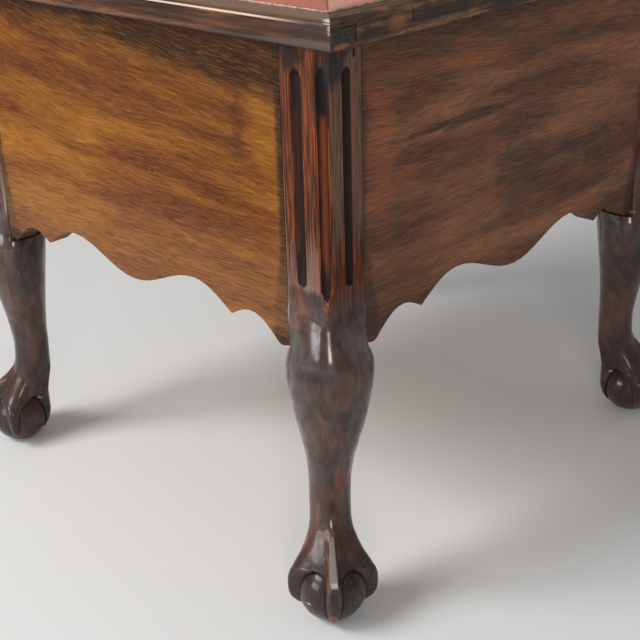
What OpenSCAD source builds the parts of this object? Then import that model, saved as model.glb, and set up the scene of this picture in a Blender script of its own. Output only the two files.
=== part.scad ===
// Square footstool on four ball-and-claw feet, with a hinged, leather-covered lid
// over a box for shoe brushes and a fixed rest for the shoe.
// The origin is on the floor, midway between the feet. +Z is up, the front faces -Y.

/* [Carcass] */
// Width over the posts, left to right
carcass_w = 420; // [390:1:450]
// Depth over the posts, front to back
carcass_d = 432; // [400:1:460]
// Height of the underside of the lid above the floor
lid_base = 422; // [410:1:440]
// Side of each square post
post_w = 38; // [36:0.5:42]

/* [Posts] */
// Width of the flat on the outer corner of a post
cant_w = 10; // [8:0.5:12]
// Radius of the outer edges of a post beside the aprons
post_edge_r = 2.5; // [1:0.5:3]
// Width of the flutes on the faces of a post
flute_w = 9.8; // [8.4:0.1:10]
// Width of the flute on the corner of a post
corner_flute_w = 7.2; // [6:0.1:7.6]
// Radius of the gouge that cut the flutes
gouge_r = 5.3; // [5.2:0.1:6.5]
// Distance from the outer corner of a post to the middle of a face flute
flute_in = 22.9; // [21:0.1:23.5]
// Height of the lower ends of the flutes
flute_low = 261; // [256:1:270]
// Height of the upper ends of the flutes
flute_high = 408; // [380:1:408]

/* [Legs] */
// Height where the square post ends and the knee begins
knee_top = 250; // [246:1:254]
// Height of the ankle, where the foot begins
ankle_z = 84; // [78:1:90]
// Diameter of the carved ball
ball_d = 49; // [46:0.5:51]
// Diameter of the flat that the ball stands on
ball_flat = 16; // [12:0.5:20]
// Distance of the ball outward from the middle of the post, on the diagonal
toe_out = 21; // [18:0.5:24]
// Thickness of the web's edge where the ball shows under it
lip_t = 2.9; // [2:0.1:3.5]

/* [Aprons] */
// Thickness of the apron boards
apron_t = 18; // [16:0.5:19]
// Step back of the aprons behind the faces of the posts
apron_inset = 1; // [0.5:0.1:2]
// Height of the lower edge where it meets a post
apron_end_z = 212.5; // [211:0.5:216]
// Height of the small tips beside the knees
apron_tip_z = 209.5; // [208:0.5:212]
// Rise of the small arches above the line between their ends
small_arch_rise = 13; // [9:0.5:16]
// Height of the cusps between the arches
cusp_z = 220; // [216:0.5:224]
// Height of the crowns of the large arches
crown_z = 237.5; // [232:0.5:238.5]
// Height of the middle of the lower edge
pendant_z = 217.5; // [212:0.5:222]
// Thickness of the tenons
tenon_t = 8; // [6:0.5:9]
// Length of the tenons
tenon_l = 20; // [14:0.5:21]
// Distance of the tenons from the top and from the foot of their apron
tenon_margin = 18; // [12:1:30]

/* [Lid] */
// Overhang of the lid beyond the posts at the front
front_overhang = 6; // [3:0.5:10]
// Overhang of the lid beyond the posts at the sides
side_overhang = 14; // [8:0.5:18]
// Width of the lid rails
rail_w = 40; // [36:0.5:46]
// Thickness of the lid rails
rail_t = 20; // [19:0.5:23]
// Width of the rebate that holds the seat board
rebate_w = 22.5; // [18:0.5:25]
// Depth of the rebate that holds the seat board
rebate_d = 11; // [10:0.5:11]
// Radius of the upper edge of the rails
nose_top_r = 6; // [4:0.1:6]
// Radius of the lower edge of the rails
nose_low_r = 4.5; // [3:0.1:4.5]
// Thickness of the corner tenons of the lid
bridle_t = 8.8; // [7:0.1:8.9]
// Width of the corner tenons of the lid
bridle_w = 22; // [16:0.5:24]
// Height of the corner tenons above the underside of the lid
bridle_up = 5; // [4.6:0.1:5.1]
// Gap between the closed lid and the carcass
lid_gap = 0.4; // [0.3:0.1:0.8]

/* [Seat] */
// Thickness of the seat board
seat_board_t = 9; // [6:0.5:10]
// Thickness of the leather
leather_t = 1.6; // [1.2:0.1:2]
// Height of the leather's edge roll above the rails
roll_h = 6; // [4:0.5:9]
// Height of the crown above the edge roll
crown_h = 25; // [18:1:34]
// Radius of the corners of the seat
seat_corner_r = 5; // [4:0.5:12]

/* [Box] */
// Thickness of the bottom board
bottom_t = 8; // [6:0.5:10]
// Height of the cleats under the bottom board
cleat_h = 12; // [10:0.5:14]
// Width of the cleats under the bottom board
cleat_w = 14; // [10:0.5:16]
// Side of the glue blocks beside the posts
block_w = 16; // [12:0.5:17]
// Thickness of the partitions
partition_t = 9; // [7:0.5:10]
// Height of the partitions
partition_h = 105; // [80:1:120]
// Gap between the base of the shoe rest and each partition
partition_gap = 7.5; // [5:0.5:14]

/* [Shoe rest] */
// Height of the top of the shoe rest above the floor
rest_top = 420; // [400:1:424]
// Thickness of the sole of the rest
sole_t = 18; // [14:0.5:20]
// Length of the sole of the rest
sole_l = 252; // [220:1:270]
// Width of the sole across the ball of the foot
sole_w = 86; // [76:1:92]
// Width of the sole at the heel
heel_w = 66; // [58:1:72]
// Thickness of the base of the rest
rest_base_t = 12; // [10:0.5:16]
// Width of the base of the rest
rest_base_w = 108; // [100:1:112]
// Length of the base of the rest
rest_base_l = 180; // [160:1:200]
// Width of the pillar at its foot
pillar_w = 64; // [54:1:72]
// Length of the pillar at its foot
pillar_l = 120; // [100:1:130]

/* [Hinges] */
// Length of a hinge
hinge_l = 50; // [44:1:60]
// Distance of each hinge from the middle of the back
hinge_x = 120; // [100:1:125]
// Width of a hinge leaf, from the back of the lid inwards
leaf_w = 15; // [13:0.5:15.5]
// Thickness of a hinge leaf
leaf_t = 1.4; // [1.2:0.1:1.8]
// Radius of the knuckles
knuckle_r = 3; // [2.6:0.1:3.4]
// Radius of the hinge pins
pin_r = 1.2; // [1:0.1:1.4]

/* [Hidden] */

// Fits and overruns
glue_gap = 0.1;        // between a tenon and its mortise, and at glued joints
soft_gap = 0.4;        // between the padding and what it lies on
turn_gap = 0.3;        // between pieces of a hinge that pass each other
pin_gap = 0.1;         // round a hinge pin
cut = 1;               // how far a cutter runs past the face that it leaves
round_fn = 48;

// Places worked out from the driving dimensions
half_w = carcass_w / 2;
half_d = carcass_d / 2;
half_post = post_w / 2;
post_top = lid_base - lid_gap;
lid_half_w = half_w + side_overhang;
lid_front = -half_d - front_overhang;
lid_back = half_d;
lid_mid_y = (lid_front + lid_back) / 2;
lid_d = lid_back - lid_front;
lid_top = lid_base + rail_t;
ledge_z = lid_top - rebate_d;
frame_face = rail_w - rebate_w;       // width of the rails beside the leather

// Post and flutes
cant_side = cant_w / sqrt(2);
corner_reach = post_w / sqrt(2);      // from the middle of a post to its corner
cant_reach = corner_reach - cant_w / 2;
edge_reach = corner_reach - (sqrt(2) - 1) * post_edge_r;
flute_out = sqrt(pow(gouge_r, 2) - pow(flute_w / 2, 2));
corner_flute_out = sqrt(pow(gouge_r, 2) - pow(corner_flute_w / 2, 2));
flute_drop = 5;        // how far the corner flute ends below the others
flute_run_out = 10;    // length over which its gouge rises out of the wood
post_lap = 4;          // how far the knee runs up inside the post
knee_line = 0.2;       // fine step under the post where the knee is scribed in

// Foot
ball_r = ball_d / 2;
ball_z = sqrt(pow(ball_r, 2) - pow(ball_flat / 2, 2));

// Angles of the points round a quarter of the leg, from its front to its side
leg_angles = [0, 6.5, 13, 20, 29, 39, 50, 62, 73, 84];

// Sections of the leg from the ankle up. Each row holds the height as a share of the way
// from ankle to knee top, then shares of corner_reach: middle outward, and reach to the
// front, side and back. The last is the squareness of the section.
leg_shares = [
    [0.07, 0.037, 0.595, 0.570, 0.573, 2.00],
    [0.15, 0.000, 0.662, 0.588, 0.543, 1.95],
    [0.24, 0.000, 0.744, 0.648, 0.569, 1.88],
    [0.31, 0.000, 0.837, 0.744, 0.607, 1.80],
    [0.39, 0.000, 0.945, 0.863, 0.655, 1.70],
    [0.46, 0.000, 1.035, 0.968, 0.707, 1.65],
    [0.53, 0.000, 1.131, 1.057, 0.763, 1.60],
    [0.62, 0.000, 1.265, 1.150, 0.837, 1.56],
    [0.70, 0.000, 1.303, 1.154, 0.893, 1.50],
    [0.77, 0.000, 1.210, 1.038, 0.942, 1.37],
    [0.85, 0.000, 1.035, 1.000, 0.975, 1.20],
    [0.93, 0.000, 0.923, 1.000, 0.990, 1.08]
];

// Sections of the foot from the floor up. Each row holds the height as a share of ankle_z,
// the place of the middle as a share of toe_out, then shares of ball_r: the web (0 where it
// is open and the ball shows), and the reach of the front, side and back talons. The last
// two are degrees from the front or back: where the talon there ends, and where the side's
// begins.
foot_shares = [
    [0.000, 1.00, 0.000, 0.51, 0.00, 0.00, 11.0, 86],
    [0.040, 1.00, 0.000, 0.72, 0.00, 0.00, 12.0, 86],
    [0.083, 1.00, 0.000, 0.89, 0.00, 0.76, 13.3, 86],
    [0.125, 1.00, 0.000, 1.01, 0.90, 0.94, 14.0, 84],
    [0.155, 1.00, 0.000, 1.07, 1.08, 1.02, 14.4, 78],
    [0.190, 1.00, 0.000, 1.13, 1.22, 1.09, 14.7, 73],
    [0.262, 1.00, 0.000, 1.20, 1.34, 1.16, 15.0, 65],
    [0.333, 1.00, 0.000, 1.24, 1.37, 1.20, 15.3, 59],
    [0.405, 1.00, 0.000, 1.25, 1.36, 1.20, 15.8, 54],
    [0.452, 0.99, 0.000, 1.25, 1.32, 1.19, 17.0, 49],
    [0.488, 0.96, 0.000, 1.24, 1.28, 1.18, 20.0, 44],
    [0.506, 0.95, 0.850, 1.24, 1.23, 1.17, 22.0, 41],
    [0.548, 0.90, 0.825, 1.22, 1.14, 1.13, 23.0, 38],
    [0.619, 0.76, 0.775, 1.14, 0.96, 1.04, 24.0, 38],
    [0.714, 0.55, 0.715, 0.98, 0.80, 0.91, 26.0, 38],
    [0.810, 0.33, 0.660, 0.80, 0.68, 0.80, 26.0, 40],
    [0.905, 0.17, 0.620, 0.69, 0.635, 0.71, 24.0, 42],
    [1.000, 0.09, 0.610, 0.65, 0.620, 0.65, 20.0, 44]
];

// Places along the lower edge of an apron, as shares of the way from the corner of the
// carcass to the middle of the board
tip_share = 0.224;
cusp_share = 0.464;
crown_share = 0.65;
arch_steps = 8;

// Box
apron_back_face = apron_inset + apron_t;      // from the face of a post to the box inside
inner_w = half_w - apron_back_face;
inner_d = half_d - apron_back_face;
cleat_z = crown_z + 2.5 * apron_inset;
bottom_z = cleat_z + cleat_h;
floor_z = bottom_z + bottom_t;

// Seat
bridle_nose = 2;       // from the front or back edge of the lid to its corner tenon
seat_half_w = lid_half_w - frame_face - soft_gap;
seat_half_d = lid_d / 2 - frame_face - soft_gap;
ring_steps = 40;
crown_power = 2.6;
crown_round = 0.62;
// Rings of the seat from its edge to its middle, as shares of its half widths
seat_ring_shares = [1, 0.985, 0.95, 0.88, 0.76, 0.58, 0.36, 0.14];

// Hinges
pivot_y = lid_back + knuckle_r + turn_gap;
pivot_z = lid_base - lid_gap / 2;
leaf_front = lid_back - leaf_w;
knuckle_l = hinge_l / 3;
screw_y = lid_back - 0.6 * leaf_w;
screw_spread = 0.36 * hinge_l;

// Screws
screw_head_r = 2.6;
screw_r = 1.3;
screw_head_h = leaf_t;
hinge_screw_l = 12;
seat_screw_l = rail_t - rebate_d + 0.6 * seat_board_t;
rest_screw_l = 18;
screw_gap = 0.1;
seat_screw_x = 100;
seat_screw_y = 90;

// Shoe rest
rest_base_z = floor_z + rest_base_t;
sole_z = rest_top - sole_t;
rest_screw_in = 4 * screw_head_r;
pillar_taper_shares = [0.7, 0.85];    // width and length of the pillar's top to its foot
partition_x = rest_base_w / 2 + partition_gap + partition_t / 2;

wood_red = "#6b3320";
wood_dark = "#3a1d18";
wood_amber = "#7d4a26";
wood_pale = "#b98d5a";
brass = "#b8924a";
leather_red = "#a8504c";

// General shapes

// Closed skin over a list of rings with equal numbers of points, each ring
// running anticlockwise as seen from above, capped at its first and last ring
module skin(rings) {
    n = len(rings[0]);
    last = len(rings) - 1;
    low = ring_middle(rings[0]);
    high = ring_middle(rings[last]);
    points = concat([for (r = rings) each r], [low, high]);
    low_i = n * (last + 1);
    sides = [for (i = [0:last - 1]) for (j = [0:n - 1])
        let (k = (j + 1) % n, a = i * n + j, b = i * n + k, c = a + n, d = b + n)
        each [[a, c, d], [a, d, b]]];
    caps = [for (j = [0:n - 1])
        let (k = (j + 1) % n)
        each [[low_i, j, k], [low_i + 1, last * n + k, last * n + j]]];
    polyhedron(points = points, faces = concat(sides, caps));
}

function ring_middle(r) = [for (i = [0:2]) sum_of([for (p = r) p[i]]) / len(r)];
function sum_of(v, i = 0) = i < len(v) ? v[i] + sum_of(v, i + 1) : 0;

// Countersunk screw, its head flush with z = 0 and its shank below
module screw(length, gap = 0) {
    translate([0, 0, -screw_head_h])
        cylinder(h = screw_head_h + (gap > 0 ? gap : 0), r1 = screw_r + gap,
                 r2 = screw_head_r + gap, $fn = round_fn);
    translate([0, 0, -length - gap])
        cylinder(h = length - screw_head_h + 2 * gap, r = screw_r + gap, $fn = round_fn);
}

// Legs

// The angles of a quarter, repeated and mirrored for the whole way round
function all_round(angles) =
    let (n = len(angles))
    [for (half = [0, 180])
        each concat([for (a = angles) half + a], [half + 90],
                    [for (i = [n - 1:-1:1]) half + 180 - angles[i]])];

// Section with its own reach to the front, sides and back: a diamond at squareness 1,
// an ellipse at squareness 2
function section_r(a, front, side, back, squareness) =
    pow(pow(abs(cos(a)) / (cos(a) >= 0 ? front : back), squareness)
        + pow(abs(sin(a)) / side, squareness), -1 / squareness);

function leg_ring(row) =
    [for (a = all_round(leg_angles))
        let (r = section_r(a, row[2], row[3], row[4], row[5]) * corner_reach)
        [row[1] * corner_reach + r * cos(a), r * sin(a),
         ankle_z + row[0] * (knee_top - ankle_z)]];

// Section of the post itself, drawn in by a small step
function post_ring(z, step) =
    [for (a = all_round(leg_angles))
        let (reach = corner_reach - step * sqrt(2),
             square_r = section_r(a, reach, reach, reach, 1),
             r = min(square_r, (cant_reach - step) / max(cos(a), 0.5),
                     edge_reach / max(abs(sin(a)), 0.5)))
        [r * cos(a), r * sin(a), z]];

// Radius of the ball at a height above the floor
function ball_section(z) =
    abs(z - ball_z) < ball_r ? sqrt(pow(ball_r, 2) - pow(z - ball_z, 2)) : 0;

// Reach of the foot at angle a of a row. The front and back talons are wedges with a flat
// top and the side ones are round. Below the web, the ball shows between them.
function foot_r(a, row, ball) =
    let (turned = a > 180 ? 360 - a : a,
         front = turned < 90,
         off = front ? turned : 180 - turned,
         open = row[2] == 0,
         base = open ? ball : row[2] * ball_r,
         lip = open ? lip_t : 0,
         ridge = ball_r * (front ? row[3] : row[5]),
         side = ball_r * row[4])
    off < row[6] && ridge > base + lip / 2
        ? base + lip / 2 + (ridge - base - lip / 2) * min(1, 2 * (1 - off / row[6]))
        : off > row[7] && side > base + lip
            ? base + lip + (side - base - lip) * sin(90 * (off - row[7]) / (90 - row[7]))
            : base;

// Angles of a quarter of the foot: on the front talon, over the opening, on the side talon
function foot_angles(front, side) =
    concat([for (t = [0, 0.5, 0.95]) front * t],
           [for (t = [0, 0.35, 0.7, 1]) lerp(1.1 * front, 0.98 * side, t)],
           [for (t = [0, 0.35, 0.7]) lerp(1.02 * side, 90, t)]);

function foot_ring(row) =
    let (z = row[0] * ankle_z, ball = ball_section(z))
    [for (a = all_round(foot_angles(row[6], row[7])))
        let (r = foot_r(a, row, ball))
        [row[1] * toe_out + r * cos(a), r * sin(a), z]];

module cabriole() {
    rotate([0, 0, -45])
        skin(concat([for (row = foot_shares) foot_ring(row)],
                    [for (row = leg_shares) leg_ring(row)],
                    [post_ring(knee_top, knee_line),
                     post_ring(knee_top + post_lap, 2 * knee_line)]));
}

// Cutter for a flute that runs up a face, with round ends; out is how far the
// middle of the gouge lies outside the face
module flute(low, high) {
    translate([0, 0, low]) cylinder(h = high - low, r = gouge_r, $fn = round_fn);
    translate([0, 0, low]) sphere(r = gouge_r, $fn = round_fn);
    translate([0, 0, high]) sphere(r = gouge_r, $fn = round_fn);
}

// Flute whose gouge rises to a point at its lower end
module pointed_flute(low, high) {
    translate([0, 0, low])
        cylinder(h = flute_run_out, r1 = corner_flute_out, r2 = gouge_r, $fn = round_fn);
    translate([0, 0, low + flute_run_out])
        cylinder(h = high - low - flute_run_out, r = gouge_r, $fn = round_fn);
    translate([0, 0, high]) sphere(r = gouge_r, $fn = round_fn);
}

module flute_cutters() {
    end_in = flute_w / 2;
    at = flute_in - half_post;
    translate([-at, -half_post - flute_out, 0])
        flute(flute_low + end_in, flute_high - end_in);
    translate([half_post + flute_out, at, 0])
        flute(flute_low + end_in, flute_high - end_in);
    rotate([0, 0, -45])
        translate([cant_reach + corner_flute_out, 0, 0])
            pointed_flute(flute_low - flute_drop, flute_high - end_in);
}

// Cutter for the two mortises, one for each apron
module mortises() {
    low = tenon_low() - glue_gap;
    height = tenon_high() - tenon_low() + 2 * glue_gap;
    middle = apron_inset + apron_t / 2;
    for (side = [0, 1]) mirror([side, side, 0])
        translate([-half_post - cut, -half_post + middle - tenon_t / 2 - glue_gap, low])
            cube([cut + tenon_l + glue_gap, tenon_t + 2 * glue_gap, height]);
}

// Room for the ends of the aprons, above the knee
module apron_shoulders() {
    reach = 2 * post_w;
    for (side = [0, 1]) mirror([side, side, 0])
        translate([-half_post - reach, -reach, apron_tip_z - glue_gap])
            cube([reach, 2 * reach, knee_top + post_lap - apron_tip_z + glue_gap]);
}

// Section of a post: a canted outer corner, and round edges beside the aprons
module post_outline() {
    inside = half_post - post_edge_r;
    polygon([[-half_post, -inside], [-inside, -half_post], [half_post - cant_side, -half_post],
             [half_post, -half_post + cant_side], [half_post, inside], [inside, half_post],
             [-half_post, half_post]]);
    for (side = [-1, 1]) translate([side * inside, side * inside])
        circle(r = post_edge_r, $fn = round_fn);
}

// Leg of the front right corner, about the middle of its post
module leg_shape() {
    difference() {
        union() {
            translate([0, 0, knee_top]) linear_extrude(post_top - knee_top) post_outline();
            difference() {
                cabriole();
                apron_shoulders();
            }
        }
        flute_cutters();
        mortises();
    }
}

module leg(right, back) {
    color(wood_dark)
        mirror([right ? 0 : 1, 0, 0]) mirror([0, back ? 1 : 0, 0])
            translate([half_w - half_post, -half_d + half_post, 0])
                leg_shape();
}

// Aprons

function tenon_low() = crown_z + tenon_margin;
function tenon_high() = post_top - tenon_margin;

function lerp(a, b, t) = a + (b - a) * t;

// Lower edge of half an apron, from the post to the middle, as distance from the
// corner of the carcass and height; half is half the carcass over the posts
function edge_points(half) =
    let (tip = tip_share * half, cusp = cusp_share * half, crown = crown_share * half,
         steps = [1:arch_steps], n = arch_steps)
    concat(
        [[post_w + glue_gap, apron_end_z], [tip, apron_tip_z]],
        [for (i = steps) [lerp(tip, cusp, i / n),
            lerp(apron_tip_z, cusp_z, i / n) + small_arch_rise * sin(180 * i / n)]],
        [for (i = steps) [lerp(cusp, crown, i / n),
            lerp(cusp_z, crown_z, sin(90 * i / n))]],
        [for (i = steps) [lerp(crown, half, i / n),
            lerp(crown_z, pendant_z, (1 - cos(180 * i / n)) / 2)]]);

// Apron for a side of the carcass that is 2 * half long, lying along X, with its
// outer face on y = 0 and its thickness towards +Y
module apron_shape(half) {
    edge = edge_points(half);
    last = len(edge) - 1;
    left = [for (p = edge) [p[0] - half, p[1]]];
    right = [for (i = [last - 1:-1:0]) [half - edge[i][0], edge[i][1]]];
    end_x = half - post_w - glue_gap;
    outline = concat([[-end_x, post_top]], left, right, [[end_x, post_top]]);
    translate([0, apron_t, 0]) rotate([90, 0, 0])
        linear_extrude(apron_t) polygon(outline);
    for (side = [0, 1]) mirror([side, 0, 0])
        translate([end_x - cut, (apron_t - tenon_t) / 2, tenon_low()])
            cube([cut + tenon_l + glue_gap, tenon_t, tenon_high() - tenon_low()]);
}

module apron_front() {
    color(wood_amber)
        translate([0, -half_d + apron_inset, 0]) apron_shape(half_w);
}

module apron_back() {
    color(wood_red)
        difference() {
            mirror([0, 1, 0]) translate([0, -half_d + apron_inset, 0]) apron_shape(half_w);
            for (side = [-1, 1]) translate([side * hinge_x, 0, 0]) {
                leaf_bed(post_top - leaf_t - glue_gap, leaf_t + glue_gap + cut);
                hinge_screw_row(post_top) screw(hinge_screw_l, screw_gap);
            }
        }
}

module apron_right() {
    color(wood_red)
        rotate([0, 0, 90]) translate([0, -half_w + apron_inset, 0]) apron_shape(half_d);
}

module apron_left() {
    color(wood_red)
        rotate([0, 0, -90]) translate([0, -half_w + apron_inset, 0]) apron_shape(half_d);
}

// Box inside the carcass

// Two blocks beside each post, glued to the aprons and to the post
module glue_blocks() {
    in_w = inner_w - glue_gap;
    in_d = inner_d - glue_gap;
    post_face_w = half_w - post_w - glue_gap;
    post_face_d = half_d - post_w - glue_gap;
    color(wood_pale)
        for (sx = [0, 1]) for (sy = [0, 1]) mirror([sx, 0, 0]) mirror([0, sy, 0]) {
            translate([post_face_w - block_w, in_d - block_w, floor_z + glue_gap])
                cube([block_w, block_w, partition_h]);
            translate([in_w - block_w, post_face_d - block_w, floor_z + glue_gap])
                cube([block_w, block_w, partition_h]);
        }
}

module cleat(length, wall) {
    translate([-length / 2, wall - glue_gap - cleat_w, cleat_z])
        cube([length, cleat_w, cleat_h]);
}

cleat_l_w = 2 * (half_w - post_w - glue_gap);
cleat_l_d = 2 * (half_d - post_w - glue_gap);

module cleat_back() { color(wood_pale) cleat(cleat_l_w, inner_d); }
module cleat_front() { color(wood_pale) rotate([0, 0, 180]) cleat(cleat_l_w, inner_d); }
module cleat_left() { color(wood_pale) rotate([0, 0, 90]) cleat(cleat_l_d, inner_w); }
module cleat_right() { color(wood_pale) rotate([0, 0, -90]) cleat(cleat_l_d, inner_w); }

module bottom_board() {
    w = inner_w - glue_gap;
    d = inner_d - glue_gap;
    notch_w = half_w - post_w - glue_gap;
    notch_d = half_d - post_w - glue_gap;
    color(wood_pale)
        difference() {
            translate([-w, -d, bottom_z]) cube([2 * w, 2 * d, bottom_t]);
            for (sx = [0, 1]) for (sy = [0, 1]) mirror([sx, 0, 0]) mirror([0, sy, 0])
                translate([notch_w, notch_d, bottom_z - cut])
                    cube([post_w, post_w, bottom_t + 2 * cut]);
            rest_screw_places() screw(rest_screw_l, screw_gap);
        }
}

module partition(side) {
    d = inner_d - glue_gap;
    color(wood_pale)
        translate([side * partition_x - partition_t / 2, -d, floor_z])
            cube([partition_t, 2 * d, partition_h]);
}

module partition_left() { partition(-1); }
module partition_right() { partition(1); }

// Short board from a side apron to the partition beside it
module divider(side) {
    outer = inner_w - glue_gap;
    inner = partition_x + partition_t / 2 + glue_gap;
    middle = (inner + outer) / 2;
    color(wood_pale)
        translate([side * middle - (outer - inner) / 2, -partition_t / 2, floor_z])
            cube([outer - inner, partition_t, partition_h]);
}

module divider_left() { divider(-1); }
module divider_right() { divider(1); }

// Shoe rest

module rest_screw_places() {
    for (sx = [-1, 1]) for (sy = [-1, 1])
        translate([sx * (rest_base_w / 2 - rest_screw_in),
                   sy * (rest_base_l / 2 - rest_screw_in), rest_base_z])
            children();
}

module rest_base() {
    color(wood_red)
        difference() {
            translate([-rest_base_w / 2, -rest_base_l / 2, floor_z])
                cube([rest_base_w, rest_base_l, rest_base_t]);
            rest_screw_places() screw(rest_screw_l, screw_gap);
        }
}

// Corners of a rectangle of a width and a length, at height z
function rectangle_ring(width, length, z) =
    [[-width, -length, 2 * z], [width, -length, 2 * z], [width, length, 2 * z],
     [-width, length, 2 * z]] / 2;

// Block that tapers from its foot to the sole
module rest_pillar() {
    color(wood_red)
        skin([rectangle_ring(pillar_w, pillar_l, rest_base_z),
              rectangle_ring(pillar_taper_shares[0] * pillar_w,
                             pillar_taper_shares[1] * pillar_l, sole_z)]);
}

// Outline of a sole: a round heel and a broad, round tread
module rest_sole() {
    heel_r = heel_w / 2;
    tread_r = sole_w / 2;
    toe_r = 0.78 * tread_r;
    color(wood_red)
        translate([0, 0, sole_z])
            linear_extrude(sole_t)
                hull() {
                    translate([0, -sole_l / 2 + heel_r]) circle(r = heel_r, $fn = round_fn);
                    translate([0, sole_l / 2 - tread_r - toe_r])
                        circle(r = tread_r, $fn = round_fn);
                    translate([0, sole_l / 2 - toe_r]) circle(r = toe_r, $fn = round_fn);
                }
}

module rest_screws() {
    color(brass) rest_screw_places() screw(rest_screw_l);
}

// Lid

// Cross-section of a rail: x runs in from the outer edge, y runs up from the
// underside. The hinged rail has a square outer edge.
module rail_profile(square_edge) {
    if (square_edge)
        square([rail_w, rail_t]);
    else
        hull() {
            translate([nose_low_r, nose_low_r]) circle(r = nose_low_r, $fn = round_fn);
            translate([nose_top_r, rail_t - nose_top_r]) circle(r = nose_top_r, $fn = round_fn);
            translate([rail_w / 2, 0]) square([rail_w / 2, rail_t]);
        }
}

// Room in the frame for the seat: the rebate of every rail, cut in one
module seat_well() {
    translate([-lid_half_w + frame_face, lid_front + frame_face, ledge_z])
        cube([2 * (lid_half_w - frame_face), lid_d - 2 * frame_face, rebate_d + cut]);
}

// Rail that is length long, along X, with its outer edge on y = 0, mitred at both ends
module mitred_rail(length, square_edge = false) {
    end = length / 2 - glue_gap / 2;
    intersection() {
        translate([-end, 0, 0]) rotate([90, 0, 90])
            linear_extrude(2 * end) rail_profile(square_edge);
        translate([0, 0, -cut])
            linear_extrude(rail_t + 2 * cut)
                polygon([[-end, 0], [end, 0], [end - rail_w, rail_w], [-end + rail_w, rail_w]]);
    }
}

// Tenons of a front or back rail, through the side rails to their outer faces;
// the gap makes them the slots that they fit
module bridle_tenons(length, gap = 0) {
    for (side = [0, 1]) mirror([side, 0, 0])
        translate([length / 2 - rail_w + bridle_w / 2, bridle_nose - gap, bridle_up - gap])
            cube([rail_w - bridle_w / 2 + (gap > 0 ? cut : 0),
                  bridle_w - bridle_nose + 2 * gap, bridle_t + 2 * gap]);
}

module front_rail_place() {
    translate([0, lid_front, lid_base]) children();
}

module back_rail_place() {
    translate([0, lid_back, lid_base]) rotate([0, 0, 180]) children();
}

module seat_screw_places() {
    ledge = rail_w - rebate_w / 2;
    for (s = [-1, 1]) {
        translate([s * seat_screw_x, lid_front + ledge, lid_base])
            rotate([180, 0, 0]) children();
        translate([s * seat_screw_x, lid_back - ledge, lid_base])
            rotate([180, 0, 0]) children();
        for (t = [-1, 1])
            translate([t * (lid_half_w - ledge), lid_mid_y + s * seat_screw_y, lid_base])
                rotate([180, 0, 0]) children();
    }
}

// Side rail of the right, with the slots for the tenons of front and back
module side_rail() {
    difference() {
        translate([lid_half_w, lid_mid_y, lid_base]) rotate([0, 0, 90])
            mitred_rail(lid_d);
        front_rail_place() bridle_tenons(2 * lid_half_w, glue_gap);
        back_rail_place() bridle_tenons(2 * lid_half_w, glue_gap);
        seat_well();
    }
}

module lid_front_rail() {
    color(wood_amber)
        difference() {
            front_rail_place() union() {
                mitred_rail(2 * lid_half_w);
                bridle_tenons(2 * lid_half_w);
            }
            seat_well();
            seat_screw_places() screw(seat_screw_l, screw_gap);
        }
}

module lid_back_rail() {
    color(wood_red)
        difference() {
            back_rail_place() union() {
                mitred_rail(2 * lid_half_w, true);
                bridle_tenons(2 * lid_half_w);
            }
            seat_well();
            for (side = [-1, 1]) translate([side * hinge_x, 0, 0]) {
                leaf_bed(lid_base - cut, leaf_t + glue_gap + cut);
                hinge_screw_row(lid_base) rotate([180, 0, 0]) screw(hinge_screw_l, screw_gap);
            }
            seat_screw_places() screw(seat_screw_l, screw_gap);
        }
}

module lid_right_rail() {
    color(wood_red)
        difference() {
            side_rail();
            seat_screw_places() screw(seat_screw_l, screw_gap);
        }
}

module lid_left_rail() {
    color(wood_red)
        difference() {
            mirror([1, 0, 0]) side_rail();
            seat_screw_places() screw(seat_screw_l, screw_gap);
        }
}

// Seat

// Points round the seat at a share of its half widths, drawn in by inset
function seat_outline(share, inset) =
    let (w = (seat_half_w - inset) * share, d = (seat_half_d - inset) * share,
         r = seat_corner_r * share)
    [for (i = [0:ring_steps - 1])
        let (q = floor(4 * i / ring_steps), t = (4 * i / ring_steps) % 1,
             turn = q * 90, corner = [q == 0 || q == 3 ? 1 : -1, q < 2 ? 1 : -1],
             a = turn + 90 * corner_ease(t))
        [corner[0] * (w - r) + r * cos(a) + side_slide(q, t)[0] * (w - r),
         corner[1] * (d - r) + r * sin(a) + side_slide(q, t)[1] * (d - r)]];

// A quarter of the outline runs along half a side, round the corner and along half of the
// next side: the corner takes the middle third of the quarter
function corner_ease(t) = t < 0.33 ? 0 : t > 0.67 ? 1 : (t - 0.33) / 0.34;
function side_slide(q, t) =
    let (before = t < 0.33 ? 1 - t / 0.33 : 0, after = t > 0.67 ? (t - 0.67) / 0.33 : 0,
         sx = q == 0 || q == 3 ? -1 : 1, sy = q < 2 ? -1 : 1)
    q % 2 == 0 ? [sx * after, sy * before] : [sx * before, sy * after];

// Height of the leather above the floor at a point of the seat
function seat_height(x, y) =
    let (u = min(1, abs(x) / seat_half_w), v = min(1, abs(y) / seat_half_d),
         rise = max(0, (1 - pow(u, crown_power)) * (1 - pow(v, crown_power))))
    lid_top + roll_h * pow(rise, 0.25) + crown_h * pow(rise, crown_round);

// Ring on the crowned surface at a share of the seat, drawn in and down by inset
function crown_ring(share, inset) =
    [for (p = seat_outline(share, inset))
        [p[0], p[1], max(lid_top - inset, seat_height(p[0], p[1]) - inset)]];

function flat_ring(z, inset) = [for (p = seat_outline(1, inset)) [p[0], p[1], z]];

module seat_place() { translate([0, lid_mid_y, 0]) children(); }

module seat_board() {
    edge = seat_outline(1, leather_t + soft_gap);
    color(wood_pale)
        difference() {
            seat_place() translate([0, 0, ledge_z])
                linear_extrude(seat_board_t) polygon([for (p = edge) [p[0], p[1]]]);
            seat_screw_places() screw(seat_screw_l, screw_gap);
        }
}

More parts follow.
